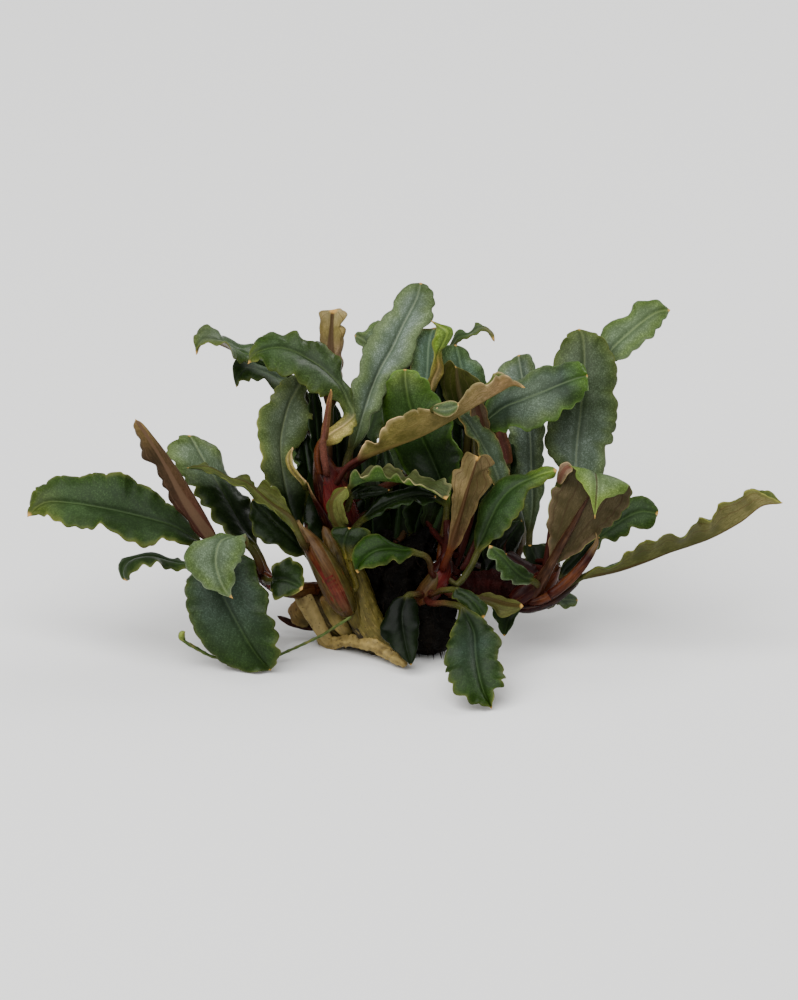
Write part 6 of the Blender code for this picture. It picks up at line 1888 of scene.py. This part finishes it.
def inner_leaf(name, start, tip, half_width, turn):
    """A plain upright leaf between two places, bowed a little, wide in its middle."""
    start = np.array(start, float)
    tip = np.array(tip, float)
    run = tip - start
    square = np.array([-run[1], run[0], 0.0]) / np.hypot(run[0], run[1])
    bow = np.array([0.0, 0.0, -INNER_BOW])
    lean = np.array([0.0, 0.0, turn])

    def spots_at(shares):
        """The places at shares of the way from the start to the tip."""
        return [start + run * share + bow * math.sin(math.pi * share) for share in shares]

    middle = spots_at(INNER_WIDTHS)
    sizes = [half_width * size for size in INNER_WIDTHS.values()]
    # Near-black colours: partly the leaves' own dark green and partly painted shade deep in the clump.
    leaf(
        name, "leaf_dark", stalk=[start, start + run * INNER_STALK], rib=spots_at(INNER_RIB),
        edge_a=[spot - square * size - lean * size / half_width for spot, size in zip(middle, sizes)],
        edge_b=[spot + square * size + lean * size / half_width for spot, size in zip(middle, sizes)],
        upper=(NIGHT_GREEN, NIGHT_GREEN, DEEP_GREEN), under=(WINE, DEEP_GREEN, DEEP_GREEN),
        shows="upper" if turn > 0 else "under", rim=DARK_GREEN, rib_tone=DARK_GREEN, wet=0.30,
        modelled=False,
    )


for inner_sizes in INNER_LEAVES:
    inner_leaf(*inner_sizes)


# Small leaves and flaps
# Young and broken leaves fill the gaps between the large ones, most of them short, dark and wet. They
# are too small for the plain model, so they ride on the plant without a part of their own there.
STALK_PINK = (0.150, 0.045, 0.028)
leaf(
    "green_flap", "leaf_green",
    stalk=[(345, 478, 3), (352, 445, 4)],
    rib=[(364, 410, 6), (372, 380, 8), (372, 355, 9.5), (364, 340, 10), (354, 335, 10)],
    edge_a=[(360, 405, 5), (366, 380, 7), (363, 352, 9), (357, 344, 9.5)],
    edge_b=[(372, 405, 7), (385, 375, 9), (388, 345, 11), (380, 320, 11.5), (370, 324, 11.5),
        (364, 331, 11), (357, 331, 10.5)],
    upper=(GREEN, GREEN, PALE_GREEN), rim=PALE_GREEN, modelled=False,
)
leaf(
    "flap_on_tan", "leaf_green",
    stalk=[(345, 470, -2.0), (375, 450, -3.0), (402, 430, -3.8), (426, 416, -5.2)],
    rib=[(434, 409, -7.2), (442, 410, -7.9), (450, 409, -8), (459, 405, -7.8)],
    edge_a=[(440, 403, -7.4), (449, 401, -7.6), (456, 402, -7.7)],
    edge_b=[(440, 416, -7.9), (449, 417, -8.1), (456, 412, -8)],
    upper=(MOSS_GREEN, (0.075, 0.105, 0.055)), rim=PALE_TAN, frill=0.5, modelled=False,
)
leaf(
    "curled_rim", "leaf_brown",
    stalk=[(310, 545, -0.6), (306, 515, 2.6), (305, 495, 3.2)],
    rib=[(305, 484, 0.6), (297, 476, 0.0), (291, 467, -0.4), (289, 457, -0.2), (293, 447, 0.6)],
    edge_a=[(298, 480, 0.4), (289, 470, 0.0), (286, 458, 0.2)],
    edge_b=[(299, 473, -0.8), (294, 466, -1.0), (292, 457, -0.8)],
    upper=(OLIVE_TAN, PALE_TAN, PALE_TAN, DULL_TAN), rim=PALE_TAN, rib_tone=DULL_TAN, frill=0.3,
        gold=0.3, modelled=False,
)
leaf(
    "fan_curl", "leaf_brown",
    stalk=[(545, 572, -3.0), (551, 530, -3.4), (556, 495, -4.2)],
    rib=[(559, 482, -6), (562, 474, -7.4), (566, 468, -8), (572, 467, -8.2)],
    edge_a=[(557, 473, -6.6), (560, 465, -7.6), (567, 462, -8)],
    edge_b=[(565, 479, -7.8), (568, 474, -8.6), (572, 471, -8.6)],
    upper=(MOSS_GREEN, PALE_GREEN), under=(MAUVE_BROWN, (0.20, 0.13, 0.08)), shows="under",
        rim=PALE_TAN, frill=0.3, modelled=False,
)
# teal_back: painted much lighter than its own teal green, as painted light, because it stands in shade
# behind the leaves in front.
leaf(
    "teal_back", "leaf_green",
    stalk=[(430, 522, 6.5), (434, 470, 9), (430, 420, 10)],
    rib=[(424, 395, 9), (427, 372, 9), (428, 350, 9), (430, 336, 9), (434, 327, 9)],
    edge_a=[(412, 385, 9), (411, 372, 9), (411, 360, 9), (411, 350, 9), (413, 338, 9), (415, 331, 9),
        (422, 329, 9)],
    edge_b=[(434, 380, 11), (440, 360, 11), (444, 340, 11), (440, 328, 10)],
    upper=((0.16, 0.25, 0.18), (0.20, 0.31, 0.22), (0.20, 0.31, 0.22)), rim=TAN, modelled=False,
)
leaf(
    "teal_band", "leaf_green",
    stalk=[(452, 548, 0), (468, 500, 4), (475, 465, 8)],
    rib=[(474, 430, 10), (468, 400, 10), (462, 370, 10), (456, 344, 10)],
    edge_a=[(455, 420, 10), (444, 395, 10), (440, 370, 10), (440, 352, 10), (447, 345, 10)],
    edge_b=[(490, 415, 12), (488, 390, 12), (484, 372, 12), (477, 360, 12), (471, 358, 12),
        (464, 348, 11)],
    upper=(DARK_GREEN, BLUE_GREEN, (0.070, 0.115, 0.070), (0.075, 0.125, 0.070)), rim=MOSS_GREEN,
        wet=0.36, modelled=False,
)
leaf(
    "dark_middle", "leaf_dark",
    stalk=[(350, 533, -1.5), (360, 522, -2.5)],
    rib=[(364, 519, -3), (380, 508, -3.5), (400, 499, -4), (420, 495, -4.5), (436, 497, -4.5)],
    edge_a=[(372, 505, -3), (388, 494, -3), (404, 488, -3.5), (420, 485, -4), (432, 489, -4.2)],
    edge_b=[(375, 517, -4.5), (392, 509, -5), (408, 505, -5.5), (424, 505, -5.5), (434, 502, -5)],
    upper=(NIGHT_GREEN, DEEP_GREEN, NIGHT_GREEN), rim=DARK_GREEN, stalk_tone=(STALK_OLIVE, STALK_OLIVE),
        wet=0.24, modelled=False,
)
leaf(
    "dark_glint", "leaf_dark",
    stalk=[(346, 512, -1.5)],
    rib=[(352, 496, -3), (362, 493, -3.5), (376, 491, -4.2), (390, 490, -4.6)],
    edge_a=[(360.8, 487.1, -3.8), (375.4, 485, -4.5)],
    edge_b=[(363.2, 498.9, -3.2), (376.6, 497, -3.9)],
    upper=(NIGHT_GREEN, NIGHT_GREEN), rim=DEEP_GREEN, wet=0.16, modelled=False,
)
leaf(
    "olive_hood", "leaf_brown",
    stalk=[(342, 545, -2.5)],
    rib=[(340, 529, -4), (333, 517, -5), (331, 504, -5.5), (336, 495, -5.5), (347, 487, -5.5)],
    edge_a=[(331, 524, -3.5), (328, 512, -4), (328, 500, -4.5), (334, 491, -4.5)],
    edge_b=[(348, 522, -6), (344, 510, -6.5), (342, 502, -6.5), (348, 494, -6.5)],
    upper=(DEEP_RED, DEEP_RED), under=(OLIVE_TAN, OLIVE_TAN, YOLK_GREEN), shows="under", modelled=False,
)
leaf(
    "olive_strip", "leaf_green",
    stalk=[(356, 588, -3.0), (352, 572, -4.4)],
    rib=[(348, 558, -6), (344, 546, -6.5), (346, 536, -7), (350, 528, -6.5)],
    edge_a=[(340, 548, -5.5), (335, 540, -6), (332, 533, -6), (334, 528, -6), (342, 526, -6)],
    edge_b=[(357, 562, -6.5), (356, 550, -7), (366, 542, -7.5), (370, 534, -7.5), (364, 528, -7)],
    upper=(PALE_OLIVE, DEEP_GREEN, DEEP_GREEN), stalk_tone=(PALE_OLIVE, PALE_OLIVE), wet=0.26,
        modelled=False,
)
leaf(
    "pink_strip", "crown_pink",
    stalk=[(505, 560, 4.5), (508, 520, 6.5), (508, 480, 7)],
    rib=[(507, 465, 7), (504, 450, 7), (500, 436, 7), (498, 425, 7)],
    edge_a=[(500, 463, 7.5), (497, 448, 7.5), (496, 435, 7.5)],
    edge_b=[(513, 460, 7.5), (511, 445, 7.5), (506, 430, 7.5)],
    upper=(STALK_PINK, (0.150, 0.060, 0.045), (0.150, 0.060, 0.045)), rim=SALMON, frill=0.5,
        modelled=False, rib_tone=(0.11, 0.04, 0.03),
)
leaf(
    "dark_right", "leaf_dark",
    stalk=[(550, 582, 1.5)],
    rib=[(560, 575, 3), (575, 560, 3), (590, 545, 3), (600, 537, 3)],
    edge_a=[(570.1, 555.1, 2.4), (585.9, 540.6, 2.4)],
    edge_b=[(579.9, 564.9, 3.6), (594.1, 549.4, 3.6)],
    upper=(NIGHT_GREEN, DEEP_GREEN), modelled=False,
)
leaf(
    "dark_stub", "leaf_dark",
    stalk=[(541, 582, 0.5)],
    rib=[(540, 572, 2), (535, 558, 2.5), (530, 545, 3)],
    edge_a=[(528, 568, 2), (524, 556, 2.5), (524, 546, 3)],
    edge_b=[(548, 566, 3), (552, 552, 3.5), (545, 545, 3.5)],
    upper=(NIGHT_GREEN, DEEP_GREEN), modelled=False,
)
leaf(
    "maroon_stub", "crown_red",
    stalk=[(546, 582, -1)],
    rib=[(540, 578, -1), (522, 566, -1), (505, 554, -1)],
    edge_a=[(532, 565, 0), (520, 556, 0.5), (510, 551, 0.5)],
    edge_b=[(530, 578, -2), (515, 572, -2), (504, 562, -2)],
    upper=(WINE, WINE), rim=DEEP_RED, rib_tone=DEEP_RED, modelled=False,
)
leaf(
    "grey_low", "leaf_dark",
    stalk=[(530, 606, -2), (515, 608, -3)],
    rib=[(510, 612, -4), (507, 624, -5), (504, 636, -5.5)],
    edge_a=[(492, 607, -4), (496, 621, -5), (501, 632, -5.5)],
    edge_b=[(520, 607, -3), (514, 622, -5), (508, 632, -5.5)],
    upper=(NIGHT_GREEN, DARK_GREEN), rim=GREEN, modelled=False,
)
leaf(
    "mauve_strip", "leaf_brown",
    stalk=[(455, 566, 0), (470, 520, 0.8), (478, 470, 1.2)],
    rib=[(486, 434, 0.8), (482, 424, 0.4), (478, 411, -0.2), (476, 402, -0.6), (474, 392, -1)],
    edge_a=[(474.4, 426.6, 0.1), (470.3, 413.1, -0.5), (470.1, 403.2, -0.9)],
    edge_b=[(489.6, 421.4, 0.7), (485.7, 408.9, 0.1), (481.9, 400.8, -0.3)],
    upper=(BROWN, BROWN), under=(BROWN, MAUVE_BROWN, BROWN), shows="under", rim=TAN, modelled=False,
)
